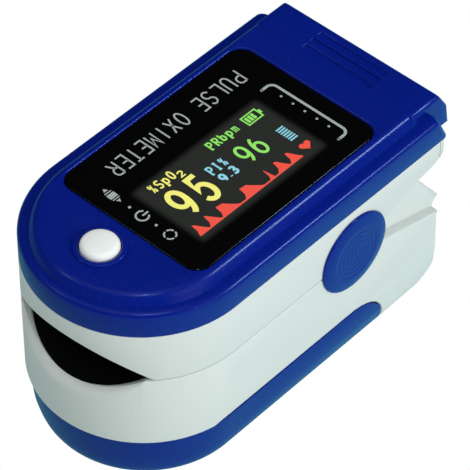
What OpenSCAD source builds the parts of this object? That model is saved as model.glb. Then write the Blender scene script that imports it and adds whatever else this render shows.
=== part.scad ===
// Fingertip pulse oximeter: two hinged half-shells that close on a finger.
// +X right, +Y towards the hinge end, -Y towards the finger opening, +Z up.
// The origin is on the surface that the part stands on, under the middle of its outline.

/* [Body] */
// Width across the side walls
body_w = 33; // [32.5:0.1:33.5]
// Length from the round nose to the rear grip
body_l = 62.3; // [61.5:0.1:63]
// Height of the display face above the underside
body_h = 34.8; // [34.6:0.1:35.2]
// Wall of the white half-shells
wall = 1.4; // [1.3:0.1:1.5]
// Height of the joint line between the two half-shells
seam_z = 20.5; // [20.3:0.1:20.7]
// Gap between the two half-shells along the joint line
seam_gap = 0.2; // [0.1:0.1:0.3]

/* [Top cover] */
// Height of the joint between the blue cover and the white shell
cover_z = 29.1; // [28.9:0.1:29.3]
// Half-width of the raised face around the display
face_r = 13.9; // [13.7:0.1:14]
// Step from the raised face down to the rim
face_step = 1.6; // [1.4:0.1:1.8]
// Small bevel on the outer edges
edge = 0.5; // [0.3:0.1:0.6]
// Thickness of the cover's top
cover_t = 1.9; // [1.8:0.1:2]

/* [Display] */
// Window width across the part
window_w = 25.3; // [25:0.1:25.5]
// Window length along the part
window_l = 35.8; // [35:0.1:36]
// Window thickness
window_t = 1.2; // [1:0.1:1.3]
// Corner radius of the window
window_corner = 2.4; // [2:0.1:2.5]
// Lit area's centre, to the right of the middle
screen_x = 2.7; // [2:0.1:3]
// Lit area's centre along the part
screen_y = -0.7; // [-1:0.1:0]

/* [Button] */
// Centre of the power button along the part
button_y = -22.6; // [-22.8:0.1:-22.4]
// Radius of the power button
button_r = 2.7; // [2.6:0.1:2.8]
// Height of the button above the raised face
button_proud = 1.2; // [1:0.1:1.3]
// Travel of the button
button_travel = 0.25; // [0.2:0.05:0.25]

/* [Finger cavity] */
// Highest point of the cavity
cavity_top = 25.9; // [25.7:0.1:26]
// Lowest point of the cavity
cavity_floor = 16.45; // [16.3:0.05:16.6]
// Radius of the cavity's roof
roof_r = 16.8; // [16.6:0.1:17]
// Radius of the cavity's floor
floor_r = 17.9; // [17.7:0.1:18.1]
// Where the fingertip stops
finger_stop = 3.6; // [3.4:0.1:3.6]
// Thickness of the silicone pads
pad_t = 1; // [0.9:0.1:1]

/* [Hinge] */
// Hinge axis along the part
hinge_y = 9; // [8.9:0.1:9.1]
// Hinge axis height
hinge_z = 21.2; // [21.1:0.1:21.3]
// Radius of the hinge pin
pin_r = 1.5; // [1.4:0.1:1.6]
// Running clearance of the pin in the lower ears
pin_gap = 0.05; // [0.03:0.01:0.08]
// Radius of the blue caps over the hinge
cap_r = 6.4; // [6.3:0.1:6.5]
// Height of the caps above the side walls
cap_proud = 0.65; // [0.5:0.05:0.7]

/* [Batteries] */
// Diameter of one battery cell
cell_d = 10.5; // [10.3:0.1:10.5]
// Length of one battery cell with its button end
cell_l = 44.5; // [44:0.1:44.5]
// Distance between the two cells' axes
cell_pitch = 10.9; // [10.8:0.1:11]
// Height of the blue battery door
door_h = 7.8; // [7.6:0.1:8]

/* [Hidden] */
$fn = 96;

half_w = body_w / 2;
nose_front = -body_l / 2;
nose_y = nose_front + half_w;
rear_y = body_l / 2;
upper_z = seam_z + seam_gap / 2;
lower_z = seam_z - seam_gap / 2;
inner_r = half_w - wall;
rim_z = body_h - face_step;
face_nose_y = nose_y - 0.7;
face_slope = 0.8;
rim_rear_y = rear_y - 2.6;
lobe_half_w = 14.2;
lobe_front = 23;
shell_rear_y = rear_y - 2.5;
window_y = 0.3;
window_sink = 0.1;
window_floor = body_h - window_sink - window_t;
screen_size = [12.7, 24];
roof_axis_z = cavity_top - roof_r;
floor_axis_z = cavity_floor + floor_r;
skin = 1.2;
stop_wall = finger_stop + pad_t + skin;
play = 0.2;
cap_stub = 0.5;
ear_out = inner_r - play;
ear_t = 1.6;
hub_r = 5.8;
ear_r = 4.3;
spring_r = pin_r + 0.8;
spring_wire_r = 0.3;
spring_leg = 9.5;
spring_lean = 20;
shelf_x = 7.5;
shelf_w = 4.5;
shelf_end = 17.5;
shelf_z = 27;
rest_z = 15.4;
over = 1;
board_z = 29.9;
board_t = 1;
board_top = board_z + board_t;
panel_z = board_top + 0.2;
panel_t = 1.5;
switch_top = board_top + 1.1;
plunger_top = switch_top + button_travel + 0.05;
boss_r = 1.6;
screw_r = 0.7;
screw_places = [[-10.6, -19], [10.6, -19], [-10.6, 15.5], [10.6, 15.5]];
optic_y = -9;
optic_size = [5, 4];
cell_r = cell_d / 2;
cell_z = 7;
cell_end = 22.9;
plate_t = 0.3;
bay_half_w = 11.1;
bay_front = -25;
bay_rear = 24.4;
bay_top = 12.4;
tail_floor = 1.7;
bay_wall = 0.8;
door_t = 1.3;
door_round = 7.5;
door_rear = 17.2;
door_play = 0.15;
foot_half_w = 15.1;
door_half_w = 16.1;
foot_profile = [[foot_half_w - 0.9, 0], [foot_half_w - 0.2, 0.5], [foot_half_w + 0.3, 1.6],
                [foot_half_w + 0.6, 3.2], [door_half_w, door_h]];
tail_lift = 1.2;

// --- Shapes that repeat -------------------------------------------------

// Extrudes an outline drawn in Y and Z along X, from x0 to x1.
module along_x(x0, x1) {
    translate([x0, 0, 0]) rotate([90, 0, 90]) linear_extrude(x1 - x0) children();
}

// Extrudes an outline drawn in X and Z along Y, from y0 to y1.
module along_y(y0, y1) {
    translate([0, y1, 0]) rotate([90, 0, 0]) linear_extrude(y1 - y0) children();
}

// A round-nosed body: the half outline is turned around the nose and run straight back to y1.
module nosed(nose, y1) {
    translate([0, nose, 0]) rotate([0, 0, 180]) rotate_extrude(angle = 180) children();
    along_y(nose, y1) {
        children();
        mirror([1, 0]) children();
    }
}

// A plain round-nosed slab.
module nosed_slab(nose, y1, r, z0, z1) {
    nosed(nose, y1) translate([0, z0]) square([r, z1 - z0]);
}

// A round-nosed slab with a bevel round its top edge.
module bevelled_slab(nose, y1, r, z0, z1) {
    nosed(nose, y1) polygon([[0, z0], [r, z0], [r, z1 - edge], [r - edge, z1], [0, z1]]);
}

// A rectangle with rounded corners, centred.
module round_rect(size, r) {
    square([size[0] - 2 * r, size[1]], center = true);
    square([size[0], size[1] - 2 * r], center = true);
    for (x = [-1, 1], y = [-1, 1])
        translate([x * (size[0] / 2 - r), y * (size[1] / 2 - r)]) circle(r);
}

// A rod along X on the hinge axis.
module on_hinge(r, x0, x1) {
    translate([x0, hinge_y, hinge_z]) rotate([0, 90, 0]) cylinder(r = r, h = x1 - x0);
}

// Repeats a shape on the left, mirrored.
module on_both_sides() {
    children();
    mirror([1, 0, 0]) children();
}

// The two halves of the finger cavity, grown outwards by a wall.
module roof_bore(grow, y0, y1) {
    along_y(y0, y1) translate([0, roof_axis_z]) circle(roof_r + grow, $fn = 180);
}
module floor_bore(grow, y0, y1) {
    along_y(y0, y1) translate([0, floor_axis_z]) circle(floor_r + grow, $fn = 180);
}

// The light's way through a pad and the wall behind it.
module optic_hole(z0, h) {
    translate([-optic_size[0] / 2, optic_y - optic_size[1] / 2, z0]) cube([optic_size[0], optic_size[1], h]);
}

// A wire swept along a list of points, as one closed solid.
function unit(v) = v / norm(v);
module wire(points, r, sides = 8) {
    n = len(points);
    ahead = [for (i = [0:n - 1]) unit(points[min(i + 1, n - 1)] - points[max(i - 1, 0)])];
    rings = [for (i = [0:n - 1])
        let (a = ahead[i],
             u = unit(cross(a, abs(a[0]) > 0.9 ? [0, 1, 0] : [1, 0, 0])),
             v = cross(a, u))
        for (k = [0:sides - 1])
            points[i] + r * (cos(360 * k / sides) * u + sin(360 * k / sides) * v)];
    sleeve = [for (i = [0:n - 2], k = [0:sides - 1])
        [i * sides + k, i * sides + (k + 1) % sides, (i + 1) * sides + (k + 1) % sides, (i + 1) * sides + k]];
    first = [for (k = [sides - 1:-1:0]) k];
    last = [for (k = [0:sides - 1]) (n - 1) * sides + k];
    polyhedron(rings, concat([first], sleeve, [last]));
}

// --- Upper half ---------------------------------------------------------

// Side view of the cover's rear end: the rim and the grip lobe lean back towards their lower edge.
module rim_side() {
    polygon([[nose_front - over, cover_z], [nose_front - over, rim_z + over], [rim_rear_y - 2, rim_z + over],
             [rim_rear_y - 2, rim_z], [rim_rear_y, cover_z]]);
}
module lobe_side() {
    polygon([[10, cover_z - 0.6], [10, body_h + over], [rear_y - 2.4, body_h + over], [rear_y - 2.4, body_h],
             [rear_y - 0.5, body_h - 3], [rear_y, cover_z - 0.6]]);
}

module cover_skin() {
    intersection() {
        bevelled_slab(nose_y, rear_y, half_w, cover_z, rim_z);
        along_x(-half_w - over, half_w + over) rim_side();
    }
    nosed(face_nose_y, lobe_front + 1)
        polygon([[0, cover_z], [face_r + face_slope, cover_z], [face_r + face_slope, rim_z - 0.1],
                 [face_r, body_h - edge + 0.1], [face_r - edge, body_h], [0, body_h]]);
    intersection() {
        along_y(lobe_front, rear_y + over) polygon([
            [-lobe_half_w, cover_z - 0.6], [lobe_half_w, cover_z - 0.6], [lobe_half_w, body_h - edge],
            [lobe_half_w - edge, body_h], [edge - lobe_half_w, body_h], [-lobe_half_w, body_h - edge]]);
        along_x(-half_w, half_w) lobe_side();
    }
}

// Blue cover: rim, raised face and rear grip lobe, hollow underneath.
module top_cover() {
    color("mediumblue") difference() {
        cover_skin();
        nosed_slab(nose_y, shell_rear_y - wall, inner_r, cover_z - over, rim_z - cover_t);
        nosed_slab(face_nose_y, shell_rear_y - wall, face_r - 1.6, cover_z - over, body_h - cover_t);
        translate([-lobe_half_w - over, lobe_front - over, cover_z - over])
            cube([2 * lobe_half_w + 2 * over, shell_rear_y - lobe_front + over, over]);
        translate([0, window_y, window_floor])
            linear_extrude(window_t + over) round_rect([window_w + 0.2, window_l + 0.2], window_corner);
        translate([screen_x - screen_size[0] / 2, screen_y - screen_size[1] / 2, cover_z])
            cube([screen_size[0], screen_size[1], body_h]);
        translate([0, button_y, cover_z]) cylinder(r = button_r + 0.15, h = body_h);
        for (i = [0:2]) translate([-6, shell_rear_y - 5 + 1.6 * i, body_h - 0.3]) cube([12, 0.7, over]);
    }
    color("mediumblue") for (p = screw_places) translate([p[0], p[1], board_top]) difference() {
        cylinder(r = boss_r, h = body_h - cover_t - board_top + 0.2);
        translate([0, 0, -over]) cylinder(r = screw_r, h = 2 * over);
    }
}

// Tinted window over the display.
module display_window() {
    color("black") translate([0, window_y, window_floor])
        linear_extrude(window_t) round_rect([window_w, window_l], window_corner - 0.1);
}

// Side view of the upper shell's rear: the lower edge climbs from the hinge to the rear wall.
module upper_side() {
    polygon([[nose_front - over, upper_z], [nose_front - over, cover_z], [shell_rear_y, cover_z],
             [shell_rear_y, cover_z - 2.2], [shell_rear_y - 0.5, cover_z - 2.7], [25.1, 25.2],
             [22.5, 24.8], [15, 22.6], [12, upper_z]]);
}

// White upper shell: side walls, the arched roof over the finger and the hinge hubs.
module upper_shell() {
    color("honeydew") difference() {
        union() {
            intersection() {
                nosed_slab(nose_y, shell_rear_y, half_w, upper_z, cover_z);
                along_x(-half_w - over, half_w + over) upper_side();
            }
            on_both_sides() on_hinge(hub_r, inner_r, half_w);
        }
        difference() {
            nosed_slab(nose_y, stop_wall - skin, inner_r, upper_z + skin, cover_z + over);
            roof_bore(pad_t + skin, nose_front - over, stop_wall);
        }
        intersection() {
            roof_bore(pad_t, nose_front, stop_wall - skin);
            nosed_slab(nose_y, stop_wall, inner_r, upper_z - over, cover_z);
        }
        roof_bore(0, nose_front - over, 0);
        translate([-inner_r, stop_wall, 0])
            cube([2 * inner_r, shell_rear_y - wall - stop_wall, cover_z + over]);
        on_both_sides() on_hinge(hub_r, ear_out - ear_t - 2 * play, inner_r);
        on_hinge(pin_r, -half_w - over, half_w + over);
        optic_hole(cavity_top, 4);
    }
    color("honeydew") on_both_sides() difference() {
        translate([shelf_x, stop_wall - 0.2, shelf_z])
            cube([shelf_w, shelf_end - stop_wall + 0.2, cover_z - shelf_z]);
        translate([shelf_x - over, stop_wall, shelf_z - over])
            cube([shelf_w + 2 * over, shelf_end - stop_wall - 2, over + 1.1]);
    }
}

// Black silicone pad in the roof of the cavity.
module upper_pad() {
    color("dimgray") difference() {
        intersection() {
            roof_bore(pad_t, nose_front, finger_stop + pad_t);
            nosed_slab(nose_y, finger_stop + pad_t, inner_r, upper_z, cover_z);
        }
        roof_bore(0, nose_front, finger_stop);
        optic_hole(cavity_top - over, 4);
    }
}

// Green main board, with the nose end rounded.
module main_board() {
    color("seagreen") difference() {
        nosed_slab(face_nose_y, 17.4, face_r - 1.8, board_z, board_top);
        for (p = screw_places)
            translate([p[0], p[1], board_z - over]) cylinder(r = screw_r + play, h = 3 * over);
        translate([-3.2, 13.4, board_z - over]) cube([6.4, 0.8, 3 * over]);
    }
}

// Glass display panel on the board.
module display_panel() {
    color("darkslategray") translate([screen_x - 8.4, screen_y - 13.3, panel_z]) cube([16.8, 26.6, panel_t]);
}

// Flat tail from the display panel down to the board.
module display_flex() {
    color("orange") translate([screen_x + 1.1, screen_y + 13.3, board_top]) {
        cube([5, 1.6, 0.15]);
        cube([5, 0.15, 0.9]);
    }
}

// Square processor package under the board, clear of the roof.
module controller_chip() {
    color("black") translate([-3.5, -3.2, board_z - 0.9]) cube([7, 7, 0.9]);
}

// Small parts soldered under the board: chip capacitors, a crystal and a beeper.
module board_parts() {
    color("tan") for (i = [0:3]) translate([-9 + 5.4 * i, 9, board_z - 0.6]) cube([1.6, 0.8, 0.6]);
    color("silver") translate([5.5, 0, board_z - 1]) cube([3.2, 2.5, 1]);
    color("black") translate([6.5, -21, board_z - 1.8]) cylinder(r = 3, h = 1.8);
}

// Four screws that hold the board to the cover.
module board_screws() {
    color("silver") for (p = screw_places) translate([p[0], p[1], board_z - 0.6]) {
        cylinder(r = 2 * screw_r, h = 0.6);
        cylinder(r = screw_r, h = 0.6 + board_t + 0.95);
    }
}

// Low tactile switch under the button.
module tact_switch() {
    color("silver") translate([0, button_y, board_top]) difference() {
        linear_extrude(switch_top - board_top) square([4.5, 4.5], center = true);
        translate([0, 0, 0.2]) cylinder(r = 0.95, h = 2);
    }
}

// The switch's moving plunger.
module switch_plunger() {
    color("black") translate([0, button_y, board_top + 0.6])
        cylinder(r = 0.9, h = plunger_top - board_top - 0.6);
}

// White push button: a domed cap with a flange that keeps it under the cover.
module power_button() {
    color("white") translate([0, button_y, 0]) rotate_extrude()
        polygon([[0, plunger_top], [button_r + 0.8, plunger_top], [button_r + 0.8, plunger_top + 0.4],
                 [button_r, plunger_top + 0.4], [button_r, body_h + button_proud - 0.5],
                 [button_r - 0.5, body_h + button_proud - 0.15], [button_r - 1.3, body_h + button_proud],
                 [0, body_h + button_proud]]);
}

// Light source over the finger: its small board, the emitter and its clear lens.
module emitter_board() {
    color("seagreen") translate([-4.5, optic_y - 3.5, cavity_top + pad_t + skin]) cube([9, 7, 0.6]);
}
module emitter_led() {
    color("white") translate([-2, optic_y - 1.6, cavity_top + pad_t + skin - 1.2]) cube([4, 3.2, 1.2]);
}
module emitter_lens() {
    color("lightblue") optic_hole(cavity_top + 0.1, pad_t + skin - 1.3);
}

// --- Lower half ---------------------------------------------------------

// Front view of the lower half: the sides draw in towards the rounded foot.
module lower_front() {
    side = concat([[foot_half_w - 0.9, -over]], foot_profile, [[half_w, 18], [half_w, body_h]]);
    polygon(concat(side, [for (i = [len(side) - 1:-1:0]) [-side[i][0], side[i][1]]]));
}

// Side view of the lower shell's outer walls, with the tail under the rear grip.
module lower_side() {
    difference() {
        polygon([[nose_front - over, door_h], [nose_front - over, lower_z], [13, lower_z], [15, 18.7],
                 [19.5, 17.3], [27.7, 14.9], [27.2, 14.6], [27.8, 7.5], [27.9, 4], [26.4, tail_lift + 1],
                 [25, tail_lift], [door_rear, 0], [door_rear - door_round, 0],
                 [door_rear - door_round, door_h]]);
        door_side(door_play);
    }
}

// Side view of the battery door: a quarter round closes its rear end.
module door_side(grow) {
    translate([nose_front - over, -over])
        square([door_rear - door_round - nose_front + over, door_h + over + grow]);
    intersection() {
        translate([door_rear - door_round, door_h - door_round]) circle(door_round + grow);
        translate([door_rear - door_round - over, -over]) square([door_round + 2 * over, door_h + 2 * over]);
    }
    translate([0, -over]) square([door_rear + grow, over + door_h - door_round]);
}

// Side view of the core behind the hinge, which rises inside the upper shell.
module core_side(t) {
    polygon([[hinge_y + 2, 12], [hinge_y + 2, hinge_z + ear_r - t], [14, hinge_z + ear_r - 0.2 - t],
             [22.2 - t, 25.2 - t], [29.2 - 1.6 * t, 15.9], [28 - t, 15.6], [27.6 - t, 14.4],
             [27.6 - t, 12]]);
}

// The ears that carry the hinge pin, inside the upper shell's walls.
module ears() {
    on_both_sides() {
        on_hinge(ear_r, ear_out - ear_t, ear_out);
        translate([ear_out - ear_t, hinge_y - ear_r, lower_z - 10])
            cube([ear_t + 2 * play, 2 * ear_r, 10.5]);
    }
}

// White lower shell: side walls, the floor under the finger, the battery bay and the tail.
module lower_shell() {
    color("honeydew") difference() {
        union() {
            difference() {
                intersection() {
                    nosed_slab(nose_y, rear_y, half_w, 0, lower_z);
                    along_y(nose_front - over, rear_y) lower_front();
                    along_x(-half_w - over, half_w + over) lower_side();
                }
                difference() {
                    nosed_slab(nose_y, 26.2, foot_half_w - 0.4, -over, lower_z - skin);
                    floor_bore(pad_t + skin, nose_front - over, stop_wall);
                    translate([-half_w, stop_wall - skin, 0]) cube([body_w, skin, body_h]);
                    translate([-half_w, door_rear + 0.4, -over]) cube([body_w, 20, over + tail_lift + 1.4]);
                }
                translate([-ear_out, stop_wall, lower_z - 5]) cube([2 * ear_out, 26.2 - stop_wall, 10]);
            }
            difference() {
                translate([-bay_half_w - bay_wall, bay_front - bay_wall, door_t + play])
                    cube([2 * (bay_half_w + bay_wall), bay_rear - bay_front + 2 * bay_wall,
                          bay_top + bay_wall - door_t - play]);
                door_room();
            }
            ears();
            difference() {
                along_x(-ear_out, ear_out) core_side(0);
                along_x(-ear_out + ear_t, ear_out - ear_t) core_side(wall);
                translate([-ear_out + ear_t, 0, 0]) cube([2 * (ear_out - ear_t), 21, body_h]);
            }
            on_both_sides() translate([shelf_x, shelf_end - 2, bay_top])
                cube([shelf_w, 2, rest_z - bay_top]);
        }
        intersection() {
            floor_bore(pad_t, nose_front, stop_wall - skin);
            nosed_slab(nose_y, stop_wall, inner_r, 0, lower_z + over);
        }
        floor_bore(0, nose_front - over, 0);
        translate([-bay_half_w, bay_front, -over])
            cube([2 * bay_half_w, door_rear - bay_front, bay_top + over]);
        translate([-bay_half_w, 0, tail_floor]) cube([2 * bay_half_w, bay_rear, bay_top - tail_floor]);
        on_both_sides() on_hinge(hub_r + 0.3, ear_out, half_w + over);
        on_hinge(pin_r + pin_gap, -half_w, half_w);
        translate([-3.2, stop_wall - skin - over, bay_top + bay_wall]) cube([6.4, skin + 2 * over, 0.6]);
        optic_hole(bay_top + bay_wall, 4);
    }
}

// Room left round the nose for the battery door's wall.
module door_room() {
    difference() {
        translate([-half_w, nose_front, -over]) cube([body_w, 12, door_h + over]);
        nosed_slab(nose_y, door_rear, foot_half_w - door_t - 2 * play, -over, body_h);
    }
}

// Black silicone pad on the floor of the cavity.
module lower_pad() {
    color("dimgray") difference() {
        intersection() {
            floor_bore(pad_t, nose_front, finger_stop + pad_t);
            nosed_slab(nose_y, finger_stop + pad_t, inner_r, 0, lower_z);
        }
        floor_bore(0, nose_front, finger_stop);
        optic_hole(0, body_h);
    }
}

// Light sensor under the finger: its small board, the photodiode and its clear lens.
module sensor_board() {
    color("seagreen") translate([-4.5, optic_y - 3.5, bay_top + bay_wall]) cube([9, 7, 0.6]);
}
module photodiode() {
    color("black") translate([-1.9, optic_y - 1.6, bay_top + bay_wall + 0.6]) cube([3.8, 3.2, 0.9]);
}
module sensor_lens() {
    color("lightblue") optic_hole(cavity_floor - 1.6, 1.5);
}

// Flat cable from the sensor past the hinge pin to the main board, folded where the halves turn.
module sensor_flex() {
    z0 = bay_top + bay_wall;
    color("orange") along_x(-3, 3) polygon([
        [optic_y + 3.5, z0], [6.9, z0], [6.9, 26], [13.9, board_z - 0.6], [13.9, board_top + 0.05],
        [13.7, board_top + 0.05], [13.7, board_z - 0.55], [6.7, 26.1], [6.7, z0 + 0.2],
        [optic_y + 3.5, z0 + 0.2]]);
}

// One battery cell with its raised button end towards +Y.
module cell() {
    rotate([-90, 0, 0]) {
        cylinder(r = cell_r, h = cell_l - 0.8);
        cylinder(r = 1.9, h = cell_l);
    }
}
module battery_left() {
    color("goldenrod") translate([-cell_pitch / 2, cell_end - cell_l, cell_z]) cell();
}
module battery_right() {
    color("goldenrod") translate([cell_pitch / 2, bay_front + bay_rear - cell_end + cell_l, cell_z])
        rotate([0, 0, 180]) cell();
}

// Contact plates at the ends of the bay, with a bump for each button end.
module contact_plates() {
    bump = bay_rear - cell_end;
    for (s = [-1, 1]) color("silver") {
        translate([s * cell_pitch / 2 - 4, bay_front, cell_z - 4]) cube([8, plate_t, 8]);
        translate([s * cell_pitch / 2 - 4, bay_rear - plate_t, cell_z - 4]) cube([8, plate_t, 8]);
    }
    color("silver") {
        translate([-cell_pitch / 2, bay_rear, cell_z]) rotate([90, 0, 0]) cylinder(r = 1.6, h = bump);
        translate([cell_pitch / 2, bay_front, cell_z]) rotate([-90, 0, 0]) cylinder(r = 1.6, h = bump);
    }
}

// Conical springs that push on the flat ends of the cells.
module contact_springs() {
    turns = 4;
    steps = 14;
    wire_r = 0.22;
    room = cell_end - cell_l - bay_front - plate_t - 2 * wire_r - 0.1;
    for (s = [-1, 1]) {
        seat = plate_t + wire_r;
        start = [s * cell_pitch / 2, s < 0 ? bay_front + seat : bay_rear - seat, cell_z];
        points = [for (i = [0:turns * steps])
            let (t = i / (turns * steps), r = 3.6 - 1.6 * t, a = -s * 360 * i / steps)
            start + [r * cos(a), -s * room * t, r * sin(a)]];
        color("silver") wire(points, wire_r);
    }
}

// Blue battery door: the foot of the part, which slides off towards the nose.
module battery_door() {
    color("mediumblue") difference() {
        intersection() {
            nosed_slab(nose_y, door_rear, half_w, 0, door_h);
            along_y(nose_front - over, rear_y) lower_front();
            along_x(-half_w - over, half_w + over) door_side(0);
            nosed(nose_y, door_rear) polygon(concat([[0, 0]], foot_profile, [[0, door_h]]));
        }
        nosed(nose_y, door_rear + over) polygon([[0, door_t], [foot_half_w - door_t, door_t],
            [door_half_w - door_t, door_h + over], [0, door_h + over]]);
    }
}

// --- Hinge --------------------------------------------------------------

// Steel pin through both ears, held in the upper shell.
module hinge_pin() {
    color("silver") on_hinge(pin_r, -half_w + cap_stub, half_w - cap_stub);
}

// Torsion spring on the pin: one leg bears on the upper shell's shelf, the other on the tail.
module torsion_spring(x0) {
    turn = 20;
    steps = (4 * 360 - 2 * (90 + spring_lean)) / turn;
    pitch = 0.75 * turn / 360;
    coil = [for (i = [0:steps])
        let (a = 90 + spring_lean + turn * i)
        [x0 + pitch * i, hinge_y + spring_r * cos(a), hinge_z + spring_r * sin(a)]];
    upper_leg = coil[0] + spring_leg * [0, cos(spring_lean), sin(spring_lean)];
    lower_leg = coil[steps] + spring_leg * [0, cos(spring_lean), -sin(spring_lean)];
    color("silver") wire(concat([upper_leg], coil, [lower_leg]), spring_wire_r);
}
module torsion_spring_left() {
    torsion_spring(-11.2);
}
module torsion_spring_right() {
    torsion_spring(8.7);
}

// Blue cap over one end of the hinge: a short stub plugs into the hub's bore.
module pivot_cap() {
    rotate([0, 90, 0]) rotate_extrude()
        polygon([[0, -cap_stub], [pin_r, -cap_stub], [pin_r, 0], [hub_r, 0], [hub_r, 0.1], [cap_r, 0.1],
                 [cap_r, cap_proud - 0.35], [cap_r - 0.4, cap_proud], [0, cap_proud]]);
}
module pivot_cap_left() {
    color("mediumblue") translate([-half_w, hinge_y, hinge_z]) mirror([1, 0, 0]) pivot_cap();
}
module pivot_cap_right() {
    color("mediumblue") translate([half_w, hinge_y, hinge_z]) pivot_cap();
}

top_cover();
display_window();
upper_shell();
upper_pad();
main_board();
display_panel();
display_flex();
controller_chip();
board_parts();
board_screws();
tact_switch();
switch_plunger();
power_button();
emitter_board();
emitter_led();
emitter_lens();
lower_shell();
lower_pad();
sensor_board();
photodiode();
sensor_lens();
sensor_flex();
battery_left();
battery_right();
contact_plates();
contact_springs();
battery_door();
hinge_pin();
torsion_spring_left();
torsion_spring_right();
pivot_cap_left();
pivot_cap_right();
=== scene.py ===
"""Fingertip pulse oximeter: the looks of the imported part, built piece by piece around its frame."""

import logging
import math
from collections.abc import Callable, Iterable, Sequence
from dataclasses import dataclass, field
from enum import Enum

import bmesh
import bpy
from mathutils import Matrix, Vector


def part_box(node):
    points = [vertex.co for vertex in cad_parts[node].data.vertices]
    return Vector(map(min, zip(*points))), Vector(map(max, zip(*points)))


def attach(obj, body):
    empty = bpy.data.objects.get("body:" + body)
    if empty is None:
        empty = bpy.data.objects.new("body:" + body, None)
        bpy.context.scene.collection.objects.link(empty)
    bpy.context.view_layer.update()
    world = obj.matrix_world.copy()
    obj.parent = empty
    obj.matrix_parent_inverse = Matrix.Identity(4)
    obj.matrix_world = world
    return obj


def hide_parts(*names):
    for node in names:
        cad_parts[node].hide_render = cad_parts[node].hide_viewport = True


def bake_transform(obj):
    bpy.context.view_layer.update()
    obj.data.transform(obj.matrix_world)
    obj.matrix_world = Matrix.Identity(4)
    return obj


log = logging.getLogger("oximeter")

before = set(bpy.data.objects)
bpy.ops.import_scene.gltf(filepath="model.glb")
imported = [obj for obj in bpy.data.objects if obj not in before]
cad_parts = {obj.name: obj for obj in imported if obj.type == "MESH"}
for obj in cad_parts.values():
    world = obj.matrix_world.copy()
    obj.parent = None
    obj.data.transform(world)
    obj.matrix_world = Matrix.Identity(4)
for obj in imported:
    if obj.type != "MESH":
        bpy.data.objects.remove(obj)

MM = 0.001  # metres in a millimetre
TIGHT = 1e-3  # closeness, in millimetres, at which two places count as one
SMOOTH_ANGLE = math.radians(32)
SHELL_WALL = 1.4  # wall of the two white shells, in millimetres
CORE_GAP = 1.6  # from the shells' outside to the side of the core behind the hinge
FLANGE = 0.8  # how far the power button's flange stands out from its barrel

Point = tuple[float, float, float]
Tint = tuple[float, float, float, float]
Screen = tuple[int, int, int]
Line = list[tuple[float, float]]
Rule = Callable[[object], bool]


class Body(Enum):
    """The rigid bodies that new pieces ride on."""

    LOWER = "lower"
    UPPER = "upper"
    BUTTON = "button"
    DOOR = "door"


class Slot(Enum):
    """The record's material slots, passed along with new pieces but not used."""

    BLUE = "blue_plastic"
    WHITE = "white_plastic"
    WINDOW = "smoked_window"
    SILICONE = "silicone"
    PANEL = "display_glass"
    FILM = "flex_film"
    BUTTON = "white_button"
    WRAP = "battery_wrap"
    STEEL = "steel"


class Reading(Enum):
    """Which side of the part a mark on the window is read from."""

    FROM_RIGHT = "right"
    FROM_LEFT = "left"


def bow(u: float, v: float, ru: float, rv: float, start: float, end: float) -> Line:
    """Draws a part of an ellipse in a letter's unit box.

    Args:
        u: Centre along the word.
        v: Centre up the letter.
        ru: Radius along the word.
        rv: Radius up the letter.
        start: Where it starts, in degrees.
        end: Where it ends, in degrees.

    Returns:
        Its points.
    """
    steps = max(3, round(abs(end - start) / 14))
    turns = (math.radians(start + (end - start) * i / steps) for i in range(steps + 1))
    return [(u + ru * math.cos(t), v + rv * math.sin(t)) for t in turns]


STEM: Line = [(0, 0), (0, 1)]
LOOP: Line = [(0, 1), (0.5, 1)] + bow(0.55, 0.74, 0.45, 0.26, 80, -80) + [(0.5, 0.48), (0, 0.48)]
NINE: list[Line] = [bow(0.5, 0.68, 0.48, 0.32, 0, 360), bow(0.3, 0.62, 0.68, 0.62, 6, -72)]
GLYPHS: dict[str, list[Line]] = {
    " ": [],
    ".": [[(0.3, 0), (0.3, 0.12)]],
    "P": [STEM, LOOP],
    "U": [[(0, 1), (0, 0.32)] + bow(0.5, 0.3, 0.5, 0.3, 190, 350) + [(1, 0.32), (1, 1)]],
    "L": [[(0, 1), (0, 0), (0.95, 0)]],
    "S": [bow(0.5, 0.75, 0.48, 0.25, 25, 250) + bow(0.5, 0.25, 0.5, 0.26, 70, -155)],
    "E": [[(0.95, 1), (0, 1), (0, 0), (0.95, 0)], [(0, 0.52), (0.85, 0.52)]],
    "O": [bow(0.5, 0.5, 0.5, 0.5, 0, 360)],
    "X": [[(0, 0), (1, 1)], [(0, 1), (1, 0)]],
    "I": [[(0.5, 0), (0.5, 1)]],
    "M": [[(0, 0), (0, 1), (0.5, 0.35), (1, 1), (1, 0)]],
    "T": [[(0, 1), (1, 1)], [(0.5, 1), (0.5, 0)]],
    "R": [STEM, LOOP, [(0.45, 0.48), (1, 0)]],
    "%": [bow(0.2, 0.8, 0.2, 0.2, 0, 360), bow(0.8, 0.2, 0.2, 0.2, 0, 360), [(0.1, 0), (0.9, 1)]],
    "b": [STEM, bow(0.48, 0.33, 0.48, 0.33, 0, 360)],
    "p": [[(0, 0.66), (0, -0.3)], bow(0.48, 0.33, 0.48, 0.33, 0, 360)],
    "m": [
        [(0, 0), (0, 0.66)],
        bow(0.25, 0.4, 0.25, 0.26, 180, 0) + [(0.5, 0)],
        bow(0.75, 0.4, 0.25, 0.26, 180, 0) + [(1, 0)],
    ],
    "2": [bow(0.5, 0.72, 0.46, 0.28, 165, -25) + [(0.02, 0), (1, 0)]],
    "3": [bow(0.45, 0.75, 0.45, 0.25, 150, -80) + bow(0.45, 0.26, 0.52, 0.26, 80, -150)],
    "5": [[(0.92, 1), (0.22, 1), (0.1, 0.5)] + bow(0.48, 0.32, 0.5, 0.32, 128, -150)],
    "6": [[(1 - u, 1 - v) for u, v in line] for line in NINE],
    "9": NINE,
}
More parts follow.
